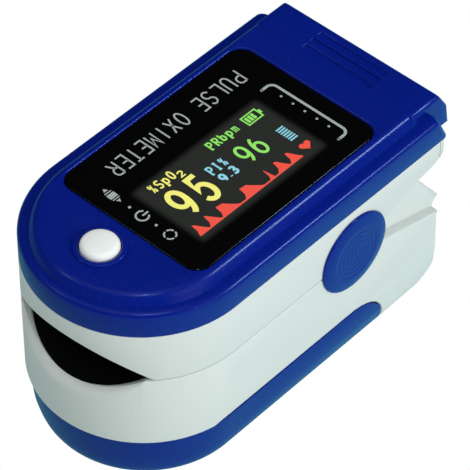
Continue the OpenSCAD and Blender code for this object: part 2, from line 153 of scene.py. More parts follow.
SERIFS: dict[str, list[Line]] = {
    "P": [[(-0.2, 0), (0.35, 0)], [(-0.2, 1), (0, 1)]],
    "I": [[(0.15, 0), (0.85, 0)], [(0.15, 1), (0.85, 1)]],
    "R": [[(-0.2, 0), (0.25, 0)], [(-0.2, 1), (0, 1)], [(0.85, 0), (1.2, 0)]],
    "b": [[(-0.2, 1), (0, 1)]],
    "p": [[(-0.2, 0.66), (0, 0.66)], [(-0.25, -0.3), (0.3, -0.3)]],
    "m": [[(-0.2, 0.66), (0, 0.66)], [(-0.15, 0), (0.15, 0)], [(0.4, 0), (0.6, 0)], [(0.85, 0), (1.15, 0)]],
}


def mm(node: str) -> tuple[Vector, Vector]:
    """Gives a CAD node's box in millimetres.

    Args:
        node: Name of the node.

    Returns:
        Its lowest and highest corners.
    """
    low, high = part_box(node)
    return low / MM, high / MM


def linear(red: int, green: int, blue: int) -> Tint:
    """Turns a screen colour of 0 to 255 into the shader's linear colour.

    Args:
        red: Red.
        green: Green.
        blue: Blue.

    Returns:
        The linear colour with full alpha.
    """

    def one(value: int) -> float:
        """Turns one channel."""
        share = value / 255
        return share / 12.92 if share <= 0.04045 else ((share + 0.055) / 1.055) ** 2.4

    return one(red), one(green), one(blue), 1.0


def in_plane(axis: int, place: float) -> Rule:
    """Gives a rule for the edges that lie in one plane.

    Args:
        axis: The axis that the plane crosses: 0, 1 or 2.
        place: Where it crosses.

    Returns:
        The rule.
    """
    return lambda edge: all(abs(v.co[axis] - place) < TIGHT for v in edge.verts)


# --- The bench: one mesh, shaped with operators ---------------------------------------


class Bench:
    """One mesh on the bench, in millimetres until it is done."""

    def __init__(self, name: str) -> None:
        """Takes the active object as the work.

        Args:
            name: The piece's name.
        """
        self.piece = bpy.context.active_object
        self.piece.name = name
        self.piece.data.name = name

    # starting

    @staticmethod
    def clear() -> None:
        """Leaves edit mode and deselects everything."""
        if bpy.context.mode != "OBJECT":
            bpy.ops.object.mode_set(mode="OBJECT")
        bpy.ops.object.select_all(action="DESELECT")

    @classmethod
    def disc(cls, name: str, radius: float, centre: Point, sides: int = 96) -> "Bench":
        """Starts with a flat disc that faces up.

        Args:
            name: The piece's name.
            radius: Radius of the disc.
            centre: Centre of the disc.
            sides: How many corners the disc has.

        Returns:
            The bench with the disc.
        """
        cls.clear()
        bpy.ops.mesh.primitive_circle_add(vertices=sides, radius=radius, fill_type="NGON", location=centre)
        return cls(name).settle()

    @classmethod
    def block(cls, name: str, low: Point, high: Point) -> "Bench":
        """Starts with a block between two corners.

        Args:
            name: The piece's name.
            low: Lowest corner.
            high: Highest corner.

        Returns:
            The bench with the block.
        """
        cls.clear()
        middle = [(a + b) / 2 for a, b in zip(low, high)]
        bpy.ops.mesh.primitive_cube_add(size=1, location=middle)
        bpy.context.active_object.scale = [b - a for a, b in zip(low, high)]
        return cls(name).settle()

    @classmethod
    def rod(cls, name: str, radius: float, start: Point, end: Point, sides: int = 64) -> "Bench":
        """Starts with a round rod between two points.

        Args:
            name: The piece's name.
            radius: Radius of the rod.
            start: Centre of one end.
            end: Centre of the other end.
            sides: How many sides the rod has.

        Returns:
            The bench with the rod.
        """
        cls.clear()
        run = Vector(end) - Vector(start)
        bpy.ops.mesh.primitive_cylinder_add(
            vertices=sides,
            radius=radius,
            depth=run.length,
            location=(Vector(start) + Vector(end)) / 2,
            rotation=run.to_track_quat("Z", "Y").to_euler(),
        )
        return cls(name).settle()

    @classmethod
    def grid(cls, name: str, columns: int, rows: int) -> "Bench":
        """Starts with a flat unit grid, from 0 to 1 in X and in Y.

        Args:
            name: The piece's name.
            columns: Divisions along X.
            rows: Divisions along Y.

        Returns:
            The bench with the grid.
        """
        cls.clear()
        middle = (0.5, 0.5, 0)
        bpy.ops.mesh.primitive_grid_add(x_subdivisions=columns, y_subdivisions=rows, size=1, location=middle)
        return cls(name).settle()

    @classmethod
    def nosed(cls, name: str, half_width: float, nose_y: float, rear_y: float, z: float) -> "Bench":
        """Starts with a flat outline that has a half-round nose and runs straight back.

        Args:
            name: The piece's name.
            half_width: Half the width, and the radius of the nose.
            nose_y: Centre of the nose along the part.
            rear_y: Rear end.
            z: Height of the outline.

        Returns:
            The bench with the outline.
        """
        bench = cls.disc(name, half_width, (0, nose_y, z), 192)
        bench.everything()
        bpy.ops.mesh.bisect(plane_co=(0, nose_y, z), plane_no=(0, 1, 0), clear_outer=True)
        bench.edges(in_plane(1, nose_y))
        bench.extrude((0, rear_y - nose_y, 0))
        bench.edges(in_plane(1, nose_y))
        bpy.ops.mesh.dissolve_edges(use_verts=False)
        return bench

    @classmethod
    def copy_of(cls, node: str, name: str) -> "Bench":
        """Starts with a merged copy of a CAD node.

        Args:
            node: The node to copy.
            name: The piece's name.

        Returns:
            The bench with the copy.
        """
        cls.clear()
        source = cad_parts[node]
        copy = bpy.data.objects.new(name, source.data.copy())
        bpy.context.scene.collection.objects.link(copy)
        copy.select_set(True)
        bpy.context.view_layer.objects.active = copy
        copy.scale = [1 / MM] * 3
        bench = cls(name).settle()
        bench.everything()
        bpy.ops.mesh.remove_doubles(threshold=TIGHT)
        bpy.ops.mesh.dissolve_limited(angle_limit=math.radians(0.3))
        cls.clear()
        bench.wake()
        bpy.ops.mesh.customdata_custom_splitnormals_clear()
        return bench

    # picking and operators

    def wake(self) -> None:
        """Makes the work the one selected and active object."""
        self.clear()
        self.piece.select_set(True)
        bpy.context.view_layer.objects.active = self.piece

    def settle(self) -> "Bench":
        """Moves the object's place, turn and scale into its mesh."""
        self.wake()
        bpy.ops.object.transform_apply(location=True, rotation=True, scale=True)
        return self

    def edit(self) -> None:
        """Opens the work in edit mode."""
        if bpy.context.mode != "EDIT_MESH" or bpy.context.active_object != self.piece:
            self.wake()
            bpy.ops.object.mode_set(mode="EDIT")

    def everything(self) -> None:
        """Selects the whole mesh."""
        self.edit()
        bpy.ops.mesh.select_all(action="SELECT")

    def pick(self, mode: str, rule: Rule) -> None:
        """Selects the elements of one kind that a rule accepts.

        Args:
            mode: VERT, EDGE or FACE.
            rule: Says whether an element is wanted.
        """
        self.edit()
        bpy.ops.mesh.select_all(action="DESELECT")
        bpy.ops.mesh.select_mode(type=mode)
        mesh = bmesh.from_edit_mesh(self.piece.data)
        elements = {"VERT": mesh.verts, "EDGE": mesh.edges, "FACE": mesh.faces}[mode]
        for element in elements:
            if rule(element):
                element.select_set(True)
        bmesh.update_edit_mesh(self.piece.data)

    def verts(self, rule: Rule) -> None:
        """Selects vertices by a rule."""
        self.pick("VERT", rule)

    def edges(self, rule: Rule) -> None:
        """Selects edges by a rule."""
        self.pick("EDGE", rule)

    def faces(self, rule: Rule) -> None:
        """Selects faces by a rule."""
        self.pick("FACE", rule)

    def extrude(self, move: Point) -> "Bench":
        """Extrudes the selection by a move."""
        bpy.ops.mesh.extrude_region_move(TRANSFORM_OT_translate={"value": move})
        return self

    def inset(self, thickness: float, depth: float = 0.0) -> "Bench":
        """Insets the selected faces, and moves them along their normal."""
        bpy.ops.mesh.inset(thickness=thickness, depth=depth, use_even_offset=True)
        return self

    def round_over(self, rule: Rule, radius: float, segments: int = 4) -> "Bench":
        """Rounds the edges that a rule accepts.

        Args:
            rule: Says whether an edge is wanted.
            radius: How far the rounding reaches.
            segments: Steps in the rounding.

        Returns:
            The bench.
        """
        self.edges(rule)
        bpy.ops.mesh.bevel(offset=radius, segments=segments, affect="EDGES", clamp_overlap=True)
        return self

    def reshape(self, rule: Callable[[Vector], Sequence[float]]) -> "Bench":
        """Moves each vertex to where a rule puts it."""
        self.clear()
        for vertex in self.piece.data.vertices:
            vertex.co = rule(vertex.co.copy())
        self.piece.data.update()
        return self

    def outward(self) -> "Bench":
        """Merges doubles and points every face outwards."""
        self.everything()
        bpy.ops.mesh.remove_doubles(threshold=TIGHT / 10)
        bpy.ops.mesh.normals_make_consistent(inside=False)
        return self

    def modify(self, kind: str, **settings: object) -> "Bench":
        """Adds a modifier and applies it.

        Args:
            kind: The modifier's type.
            **settings: Its properties.

        Returns:
            The bench.
        """
        self.wake()
        modifier = self.piece.modifiers.new(kind.lower(), kind)
        for key, value in settings.items():
            setattr(modifier, key, value)
        bpy.ops.object.modifier_apply(modifier=modifier.name)
        return self

    def combine(self, operation: str, *tools: "Bench") -> "Bench":
        """Joins, cuts or intersects the work with other benches, which are used up.

        Args:
            operation: UNION, DIFFERENCE or INTERSECT.
            *tools: The other solids.

        Returns:
            The bench.
        """
        for tool in tools:
            tool.wake()
            self.modify("BOOLEAN", operation=operation, solver="EXACT", object=tool.piece)
            bpy.data.meshes.remove(tool.piece.data)
        return self

    def add(self, *others: "Bench") -> "Bench":
        """Joins other benches' meshes to this one as they are."""
        self.clear()
        for other in others:
            other.piece.select_set(True)
        self.piece.select_set(True)
        bpy.context.view_layer.objects.active = self.piece
        bpy.ops.object.join()
        return self

    def soften(
        self,
        width: float,
        segments: int = 3,
        angle: float = 32.0,
        share: Callable[[Vector], float] = lambda p: 1.0,
    ) -> "Bench":
        """Rounds every sharp outer edge.

        Args:
            width: How far the rounding reaches.
            segments: Steps in the rounding.
            angle: Smallest angle in degrees that counts as sharp.
            share: Says for an edge's middle how much of the width it gets.

        Returns:
            The bench.
        """
        self.clear()
        mesh = bmesh.new()
        mesh.from_mesh(self.piece.data)
        weight = mesh.edges.layers.float.new("bevel_weight_edge")
        for edge in mesh.edges:
            if edge.is_manifold and edge.is_convex and edge.calc_face_angle() > math.radians(angle):
                edge[weight] = share((edge.verts[0].co + edge.verts[1].co) / 2)
        mesh.to_mesh(self.piece.data)
        mesh.free()
        return self.modify(
            "BEVEL",
            width=width,
            segments=segments,
            limit_method="WEIGHT",
            use_clamp_overlap=False,
            miter_outer="MITER_ARC",
        )

    def place(self, slot: Slot, finish: bpy.types.Material, smooth: float = 0.0) -> None:
        """Puts the finished mesh into the part's frame, in metres, and dresses it.

        Args:
            slot: Not used.
            finish: Its material.
            smooth: The angle up to which its edges are shaded smooth, or 0 for none.
        """
        self.wake()
        self.piece.scale = [MM] * 3
        self.settle()
        if smooth:
            bpy.ops.object.shade_smooth_by_angle(angle=smooth)
        if finish.name not in self.piece.data.materials:
            self.piece.data.materials.clear()
            self.piece.data.materials.append(finish)

    def done(
        self,
        body: Body,
        slot: Slot,
        finish: bpy.types.Material,
        nodes: Iterable[str] = (),
        smooth: float = SMOOTH_ANGLE,
    ) -> None:
        """Finishes a piece that rides on one body.

        Args:
            body: The body that it rides on.
            slot: Not used.
            finish: Its material.
            nodes: The CAD nodes that it stands for.
            smooth: The angle up to which its edges are shaded smooth, or 0 for none.
        """
        self.place(slot, finish, smooth)
        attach(self.piece, body.value)
        if nodes:
            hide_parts(*nodes)
        self.clear()
        log.info("%s: %d faces on %s", self.piece.name, len(self.piece.data.polygons), body.value)

    def bend(self, start: Point, end: Point, node: str) -> None:
        """Finishes a placed piece by moving its place into its mesh and hiding its CAD node; it follows
        neither half.

        Args:
            start: Not used.
            end: Not used.
            node: The CAD node that it stands for.
        """
        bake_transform(self.piece)
        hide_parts(node)
        log.info("%s: %d faces, bends with the jaws", self.piece.name, len(self.piece.data.polygons))


# --- Finishes --------------------------------------------------------------------------


class Board:
    """A node tree under construction, from inputs on the left to outputs on the right."""

    def __init__(self, tree: bpy.types.NodeTree) -> None:
        """Keeps the tree.

        Args:
            tree: The node tree to fill.
        """
        self.tree = tree

    def node(self, kind: str, **values: object) -> bpy.types.Node:
        """Adds a node and sets its properties.

        Args:
            kind: The node's type.
            **values: Its properties.

        Returns:
            The node.
        """
        node = self.tree.nodes.new(kind)
        for key, value in values.items():
            setattr(node, key, value)
        return node

    def feed(self, socket: bpy.types.NodeSocket, value: object) -> None:
        """Links an output to a socket, or sets the socket's value."""
        if isinstance(value, bpy.types.NodeSocket):
            self.tree.links.new(value, socket)
        else:
            socket.default_value = value

    def math(self, operation: str, first: object, second: object = 0.5) -> bpy.types.NodeSocket:
        """Adds a Math node.

        Args:
            operation: What it does.
            first: First value or output.
            second: Second value or output.

        Returns:
            Its output.
        """
        node = self.node("ShaderNodeMath", operation=operation)
        self.feed(node.inputs[0], first)
        self.feed(node.inputs[1], second)
        return node.outputs[0]

    def mix(self, share: object, first: object, second: object) -> bpy.types.NodeSocket:
        """Adds a colour Mix node.

        Args:
            share: How much of the second colour.
            first: First colour.
            second: Second colour.

        Returns:
            Its colour output.
        """
        node = self.node("ShaderNodeMix", data_type="RGBA")
        self.feed(node.inputs["Factor"], share)
        first_colour, second_colour = (socket for socket in node.inputs if socket.type == "RGBA")
        self.feed(first_colour, first)
        self.feed(second_colour, second)
        return next(socket for socket in node.outputs if socket.type == "RGBA")

    def spread(
        self, value: object, low: float, high: float, to_low: float = 0.0, to_high: float = 1.0
    ) -> bpy.types.NodeSocket:
        """Maps a value smoothly from one range to another.

        Args:
            value: The value.
            low: Where the source range starts.
            high: Where it ends.
            to_low: Result at the start.
            to_high: Result at the end.

        Returns:
            The mapped value.
        """
        node = self.node("ShaderNodeMapRange", interpolation_type="SMOOTHSTEP")
        for socket, given in zip(node.inputs, (value, low, high, to_low, to_high)):
            self.feed(socket, given)
        return node.outputs[0]

    def noise(self, place: object, scale: object, detail: float = 2.0) -> bpy.types.NodeSocket:
        """Adds a noise texture and gives its value."""
        node = self.node("ShaderNodeTexNoise")
        self.feed(node.inputs["Vector"], place)
        self.feed(node.inputs["Scale"], scale)
        node.inputs["Detail"].default_value = detail
        return node.outputs["Fac"]


def group(
    name: str,
    inputs: dict[str, object],
    outputs: Sequence[tuple[str, str]],
    fill: Callable[[Board, dict], dict],
) -> bpy.types.NodeTree:
    """Builds a shader node group once.

    Args:
        name: The group's name.
        inputs: Input names with their first values.
        outputs: Output names with their socket types.
        fill: Builds the inside: takes the board and the inputs, and gives the outputs by name.

    Returns:
        The group.
    """
    tree = bpy.data.node_groups.new(name, "ShaderNodeTree")
    for title, value in inputs.items():
        kind = "NodeSocketColor" if isinstance(value, tuple) else "NodeSocketFloat"
        tree.interface.new_socket(title, in_out="INPUT", socket_type=kind).default_value = value
    for title, kind in outputs:
        tree.interface.new_socket(title, in_out="OUTPUT", socket_type=kind)
    board = Board(tree)
    source, sink = board.node("NodeGroupInput"), board.node("NodeGroupOutput")
    made = fill(board, {title: source.outputs[title] for title in inputs})
    for title, socket in made.items():
        tree.links.new(socket, sink.inputs[title])
    return tree


COLOUR = "NodeSocketColor"
NUMBER = "NodeSocketFloat"


def fill_moulded(board: Board, given: dict) -> dict:
    """Moulded plastic: a fine spark-eroded grain, and a broad change in shade and gloss."""
    place = board.node("ShaderNodeTexCoord").outputs["Object"]
    grain = board.noise(place, given["Grain scale"], 3.0)
    cloud = board.noise(place, given["Cloud scale"], 4.0)
    dust = board.spread(board.noise(place, 2600.0, 1.0), 0.66, 0.74)
    shade = board.mix(board.math("MULTIPLY", cloud, given["Mottle"]), given["Colour"], given["Second colour"])
    shade = board.mix(board.math("MULTIPLY", dust, given["Dust"]), shade, (0.6, 0.62, 0.66, 1.0))
    gloss = board.math("ADD", given["Roughness"], board.math("MULTIPLY", cloud, 0.08))
    gloss = board.math("ADD", gloss, board.math("MULTIPLY", dust, 0.1))
    return {"Colour": shade, "Roughness": gloss, "Height": grain}


def fill_hairline(board: Board, given: dict) -> dict:
    """Drawn or ground metal: fine lines along X and a few dull patches."""
    place = board.node("ShaderNodeTexCoord").outputs["Object"]
    stretch = board.node("ShaderNodeMapping")
    board.feed(stretch.inputs["Vector"], place)
    stretch.inputs["Scale"].default_value = (0.08, 1.0, 1.0)
    lines = board.noise(stretch.outputs[0], given["Line scale"], 3.0)
    patches = board.noise(place, 300.0, 2.0)
    shade = board.mix(lines, given["Colour"], given["Second colour"])
    gloss = board.math("ADD", given["Roughness"], board.math("MULTIPLY", patches, 0.2))
    return {"Colour": shade, "Roughness": gloss, "Height": lines}


def fill_lattice(board: Board, given: dict) -> dict:
    """A display's lattice of dots: thin darker lines both ways over a lit colour."""
    split = board.node("ShaderNodeSeparateXYZ")
    board.feed(split.inputs[0], board.node("ShaderNodeTexCoord").outputs["Object"])
    lattice = None
    for axis in ("X", "Y"):
        wave = board.math("SINE", board.math("MULTIPLY", split.outputs[axis], given["Pitch"]))
        line = board.spread(wave, 0.6, 1.0)
        lattice = line if lattice is None else board.math("MAXIMUM", lattice, line)
    dim = board.math("MULTIPLY", lattice, given["Depth"])
    return {"Colour": board.mix(dim, given["Colour"], (0.0, 0.0, 0.0, 1.0))}


class Groups:
    """The node groups that several finishes share."""

    def __init__(self) -> None:
        """Builds every group once."""
        grey = (0.5, 0.5, 0.5, 1.0)
        surface = (("Colour", COLOUR), ("Roughness", NUMBER), ("Height", NUMBER))
        self.moulded = group(
            "moulded_plastic",
            {
                "Colour": grey,
                "Second colour": grey,
                "Mottle": 0.5,
                "Dust": 0.1,
                "Roughness": 0.4,
                "Grain scale": 4000.0,
                "Cloud scale": 60.0,
            },
            surface,
            fill_moulded,
        )
        self.hairline = group(
            "hairline_metal",
            {"Colour": grey, "Second colour": grey, "Roughness": 0.25, "Line scale": 3000.0},
            surface,
            fill_hairline,
        )
        lattice = {"Colour": grey, "Pitch": 50000.0, "Depth": 0.1}
        self.lattice = group("dot_lattice", lattice, (("Colour", COLOUR),), fill_lattice)


def blank(name: str) -> tuple[bpy.types.Material, Board, bpy.types.Node]:
    """Makes an empty material with its shader.

    Args:
        name: The material's name.

    Returns:
        The material, its board and its Principled shader.
    """
    material = bpy.data.materials.new(name)
    material.use_nodes = True
    return material, Board(material.node_tree), material.node_tree.nodes["Principled BSDF"]


def cover_with(
    board: Board, shader: bpy.types.Node, tree: bpy.types.NodeTree, values: dict[str, object]
) -> bpy.types.Node:
    """Feeds a shared group's colour and roughness to a shader.

    Args:
        board: The material's board.
        shader: Its shader.
        tree: The shared group.
        values: The group's values by input name.

    Returns:
        The group's node.
    """
    skin = board.node("ShaderNodeGroup", node_tree=tree)
    for title, value in values.items():
        skin.inputs[title].default_value = value
    board.feed(shader.inputs["Base Color"], skin.outputs["Colour"])
    board.feed(shader.inputs["Roughness"], skin.outputs["Roughness"])
    return skin


def bump(board: Board, shader: bpy.types.Node, height: bpy.types.NodeSocket, strength: float) -> None:
    """Raises a surface by a height.

    Args:
        board: The material's board.
        shader: Its shader.
        height: The height's output.
        strength: How strong the relief is.
    """
    relief = board.node("ShaderNodeBump")
    relief.inputs["Strength"].default_value = strength
    relief.inputs["Distance"].default_value = 0.0002
    board.feed(relief.inputs["Height"], height)
    board.feed(shader.inputs["Normal"], relief.outputs["Normal"])


@dataclass(frozen=True)
class Moulded:
    """A moulded, printed or rubbery finish from the shared plastic group."""

    name: str
    colour: Screen
    second: Screen
    roughness: float = 0.35
    mottle: float = 0.6
    dust: float = 0.05
    grain_scale: float = 4000.0
    grain: float = 0.04
    cloud_scale: float = 60.0
    coat: float = 0.0
    specular: float = 0.5

    def make(self, groups: Groups) -> bpy.types.Material:
        """Builds the material.

        Args:
            groups: The shared node groups.

        Returns:
            The material.
        """
        material, board, shader = blank(self.name)
        values = {
            "Colour": linear(*self.colour),
            "Second colour": linear(*self.second),
            "Mottle": self.mottle,
            "Dust": self.dust,
            "Roughness": self.roughness,
            "Grain scale": self.grain_scale,
            "Cloud scale": self.cloud_scale,
        }
        skin = cover_with(board, shader, groups.moulded, values)
        shader.inputs["Coat Weight"].default_value = self.coat
        shader.inputs["Coat Roughness"].default_value = 0.06
        shader.inputs["Specular IOR Level"].default_value = self.specular
        bump(board, shader, skin.outputs["Height"], self.grain)
        return material


@dataclass(frozen=True)
class Metal:
    """A plated or ground metal finish from the shared hairline group."""

    name: str
    colour: Screen
    second: Screen
    roughness: float = 0.25

    def make(self, groups: Groups) -> bpy.types.Material:
        """Builds the material.

        Args:
            groups: The shared node groups.

        Returns:
            The material.
        """
        material, board, shader = blank(self.name)
        first, second = linear(*self.colour), linear(*self.second)
        values = {"Colour": first, "Second colour": second, "Roughness": self.roughness}
        skin = cover_with(board, shader, groups.hairline, values)
        shader.inputs["Metallic"].default_value = 1.0
        bump(board, shader, skin.outputs["Height"], 0.03)
        return material


@dataclass(frozen=True)
class Lit:
    """A lit mark on the display, broken up by the lattice of dots."""

    name: str
    colour: Screen
    strength: float = 0.92

    def make(self, groups: Groups) -> bpy.types.Material:
        """Builds the material.

        Args:
            groups: The shared node groups.

        Returns:
            The material.
        """
        material, board, shader = blank(self.name)
        lattice = board.node("ShaderNodeGroup", node_tree=groups.lattice)
        lattice.inputs["Colour"].default_value = linear(*self.colour)
        board.feed(shader.inputs["Emission Color"], lattice.outputs["Colour"])
        shader.inputs["Emission Strength"].default_value = self.strength
        shader.inputs["Base Color"].default_value = linear(12, 12, 12)
        shader.inputs["Roughness"].default_value = 0.3
        return material


@dataclass(frozen=True)
class Smoked:
    """The smoked window: black gloss, with the panel's lit area glowing faintly through it."""

    name: str = "smoked_acrylic"
    lit_from: tuple[float, float] = (-3.6, -12.7)
    lit_to: tuple[float, float] = (9.1, 11.3)
    blur: float = 0.7

    def make(self, groups: Groups) -> bpy.types.Material:
        """Builds the material.

        Args:
            groups: The shared node groups.

        Returns:
            The material.
        """
        material, board, shader = blank(self.name)
        split = board.node("ShaderNodeSeparateXYZ")
        board.feed(split.inputs[0], board.node("ShaderNodeTexCoord").outputs["Object"])
        inside = None
        for axis, low, high in zip(("X", "Y"), self.lit_from, self.lit_to):
            away = board.math("ABSOLUTE", board.math("SUBTRACT", split.outputs[axis], (low + high) / 2 * MM))
            edge = (high - low) / 2
            near = board.spread(away, (edge - self.blur) * MM, (edge + self.blur) * MM, 1.0, 0.0)
            inside = near if inside is None else board.math("MULTIPLY", inside, near)
        inside = board.math("MULTIPLY", inside, board.spread(split.outputs["Z"], 0.0, 0.034))
        glow = board.mix(inside, (0.0, 0.0, 0.0, 1.0), linear(44, 46, 44))
        lattice = board.node("ShaderNodeGroup", node_tree=groups.lattice)
        board.feed(lattice.inputs["Colour"], glow)
        board.feed(shader.inputs["Emission Color"], lattice.outputs["Colour"])
        shader.inputs["Emission Strength"].default_value = 0.9
        smoke, haze = linear(5, 6, 5), linear(9, 10, 9)
        values = {"Colour": smoke, "Second colour": haze, "Dust": 0.0, "Roughness": 0.1}
        cover_with(board, shader, groups.moulded, values)
        return material


@dataclass(frozen=True)
class Clear:
    """Clear epoxy over the light source and the sensor."""

    name: str
    colour: Screen

    def make(self, groups: Groups) -> bpy.types.Material:
        """Builds the material.

        Args:
            groups: The shared node groups.

        Returns:
            The material.
        """
        material, board, shader = blank(self.name)
        tint = linear(*self.colour)
        cover_with(board, shader, groups.moulded, {"Colour": tint, "Second colour": tint, "Roughness": 0.05})
        shader.inputs["Transmission Weight"].default_value = 0.85
        return material


@dataclass(frozen=True)
class CircuitBoard:
    """Green solder mask over copper tracks."""

    name: str = "solder_mask"

    def make(self, groups: Groups) -> bpy.types.Material:
        """Builds the material.

        Args:
            groups: The shared node groups.

        Returns:
            The material.
        """
        material, board, shader = blank(self.name)
        place = board.node("ShaderNodeTexCoord").outputs["Object"]
        cells = board.node("ShaderNodeTexVoronoi", feature="F1", distance="MANHATTAN")
        board.feed(cells.inputs["Vector"], place)
        cells.inputs["Scale"].default_value = 420.0
        tracks = board.spread(cells.outputs["Distance"], 0.35, 0.4)
        shade = board.mix(tracks, linear(10, 84, 44), linear(24, 118, 64))
        board.feed(shader.inputs["Base Color"], shade)
        gloss = board.math("ADD", board.math("MULTIPLY", board.noise(place, 500.0), 0.15), 0.22)
        board.feed(shader.inputs["Roughness"], gloss)
        bump(board, shader, tracks, 0.05)
        return material


class Paint:
    """Every finish that the part wears."""

    def __init__(self) -> None:
        """Mixes the finishes."""
        groups = Groups()
        make = {
            "blue": Moulded(
                "blue_plastic",
                (0, 27, 136),
                (0, 24, 124),
                roughness=0.2,
                dust=0.0,
                grain=0.012,
                specular=0.45,
            ),
            "white": Moulded(
                "white_plastic", (217, 224, 222), (212, 220, 217), roughness=0.42, dust=0.0, grain=0.05
            ),
            "button": Moulded("button_plastic", (247, 251, 249), (243, 248, 246), roughness=0.4, dust=0.0),
            "silicone": Moulded(
                "silicone", (8, 8, 9), (12, 12, 13), roughness=0.7, dust=0.0, grain=0.1, specular=0.2
            ),
            "epoxy": Moulded("black_epoxy", (18, 18, 19), (28, 28, 30), roughness=0.5, grain=0.12),
            "film": Moulded("polyimide_film", (178, 104, 30), (150, 84, 24), roughness=0.22, coat=0.3),
            "small": Moulded(
                "small_parts", (150, 128, 96), (120, 104, 84), roughness=0.45, cloud_scale=500.0
            ),
            "package": Moulded("led_package", (228, 226, 214), (214, 212, 200), roughness=0.4),
            "wrap": Moulded("cell_sleeve", (186, 146, 44), (170, 130, 36), roughness=0.22, coat=0.4),
            "print": Moulded("printed_marks", (176, 186, 184), (168, 178, 176), roughness=0.45, dust=0.0),
            "glass": Moulded("panel_glass", (14, 15, 17), (20, 21, 24), roughness=0.08, coat=0.5),
            "nickel": Metal("nickel_plate", (196, 194, 188), (176, 174, 168)),
            "steel": Metal("ground_steel", (190, 192, 196), (168, 170, 174), roughness=0.2),
            "smoked": Smoked(),
            "lens": Clear("clear_epoxy", (226, 236, 244)),
            "mask": CircuitBoard(),
            "yellow": Lit("lit_yellow", (255, 251, 132)),
            "green": Lit("lit_green", (150, 240, 110)),
            "cyan": Lit("lit_cyan", (150, 222, 240)),
            "red": Lit("lit_red", (252, 92, 76)),
        }
        self.finishes = {key: finish.make(groups) for key, finish in make.items()}

    def __getitem__(self, key: str) -> bpy.types.Material:
        """Gives one finish by name."""
        return self.finishes[key]


# --- Upper half ------------------------------------------------------------------------


@dataclass
class TopCover:
    """Blue cover: rim, raised face, rear grip lobe and the collar round the button."""

    paint: Paint
    edge: float = 0.28
    rear_corner: float = 1.0
    collar_height: float = 0.32
    collar_width: float = 0.85
    collar_edge: float = 0.3
    button_play: float = 0.15

    def build(self) -> None:
        """Builds the cover."""
        low, high = mm("power_button")
        centre = (low + high) / 2
        face = mm("top_cover")[1].z
        bore = (high.x - low.x) / 2 - FLANGE + self.button_play
        low_z = mm("upper_shell")[1].z
        work = Bench.copy_of("top_cover", "cover")
        work.round_over(self.at_rear_corner, self.rear_corner, 6)
        work.soften(self.edge, share=lambda p: 0.2 if p.z < low_z + 0.2 else 1.0)
        work.add(self.collar(centre, bore, face))
        work.done(Body.UPPER, Slot.BLUE, self.paint["blue"], ["top_cover"])

    @staticmethod
    def at_rear_corner(edge: bmesh.types.BMEdge) -> bool:
        """Says whether an edge is one of the rim's two rear corners."""
        first, second = (v.co for v in edge.verts)
        side = mm("upper_shell")[1].x - 0.6
        outside = min(abs(first.x), abs(second.x)) > side
        return outside and min(first.y, second.y) > 20 and abs(first.z - second.z) > 0.2

    def collar(self, centre: Vector, bore: float, face: float) -> Bench:
        """Turns the low rounded collar that stands round the button.

        Args:
            centre: The button's centre.
            bore: Inner radius.
            face: Height of the raised face.

        Returns:
            The collar.
        """
        x, y, top = centre.x, centre.y, face + self.collar_height
        ring = Bench.rod("collar", bore + self.collar_width, (x, y, face - 0.2), (x, y, top))
        ring.combine("DIFFERENCE", Bench.rod("hole", bore, (x, y, face - 1), (x, y, face + 1)))
        return ring.round_over(in_plane(2, top), self.collar_edge, 5)


@dataclass
class Window:
    """Smoked window with its polished edge."""

    paint: Paint
    corner: float = 2.3
    polish: float = 0.18

    def build(self) -> None:
        """Builds the window."""
        low, high = mm("display_window")
        work = Bench.block("window", low, high)
        work.round_over(self.upright, self.corner, 10)
        work.round_over(in_plane(2, high.z), self.polish, 3)
        work.done(Body.UPPER, Slot.WINDOW, self.paint["smoked"], ["display_window"])

    @staticmethod
    def upright(edge: bmesh.types.BMEdge) -> bool:
        """Says whether an edge stands up."""
        first, second = (v.co for v in edge.verts)
        return abs(first.z - second.z) > TIGHT and (first.xy - second.xy).length < TIGHT


@dataclass
class PowerButton:
    """White domed button with the flange that holds it under the cover."""

    paint: Paint
    flange: float = 0.4
    dome: float = 0.3
    edge: float = 0.62

    def build(self) -> None:
        """Builds the button."""
        low, high = mm("power_button")
        x, y = (low.x + high.x) / 2, (low.y + high.y) / 2
        radius = (high.x - low.x) / 2 - FLANGE
        top = high.z - self.dome
        work = Bench.rod("push_button", radius, (x, y, low.z + self.flange), (x, y, top), 96)
        work.round_over(in_plane(2, top), self.edge, 6)
        work.faces(lambda f: f.calc_center_median().z > top - TIGHT and f.normal.z > 0.99)
        for share in (0.3, 0.35, 0.35, 0.4, 0.4):
            work.inset(share)
        work.reshape(lambda p: self.domed(p, x, y, radius, top))
        foot = Bench.rod("flange", radius + FLANGE, (x, y, low.z), (x, y, low.z + self.flange), 96)
        work.add(foot.soften(0.1, 2))
        work.done(Body.BUTTON, Slot.BUTTON, self.paint["button"], ["power_button"])

    def domed(self, point: Vector, x: float, y: float, radius: float, top: float) -> Vector:
        """Raises the button's top towards its middle.

        Args:
            point: A vertex.
            x: The button's centre across.
            y: The button's centre along.
            radius: The button's radius.
            top: Height of the flat top.

        Returns:
            Where the vertex goes.
        """
        if point.z > top - self.edge:
            share = min(1.0, math.hypot(point.x - x, point.y - y) / radius)
            point.z += self.dome * (1 - share * share)
        return point


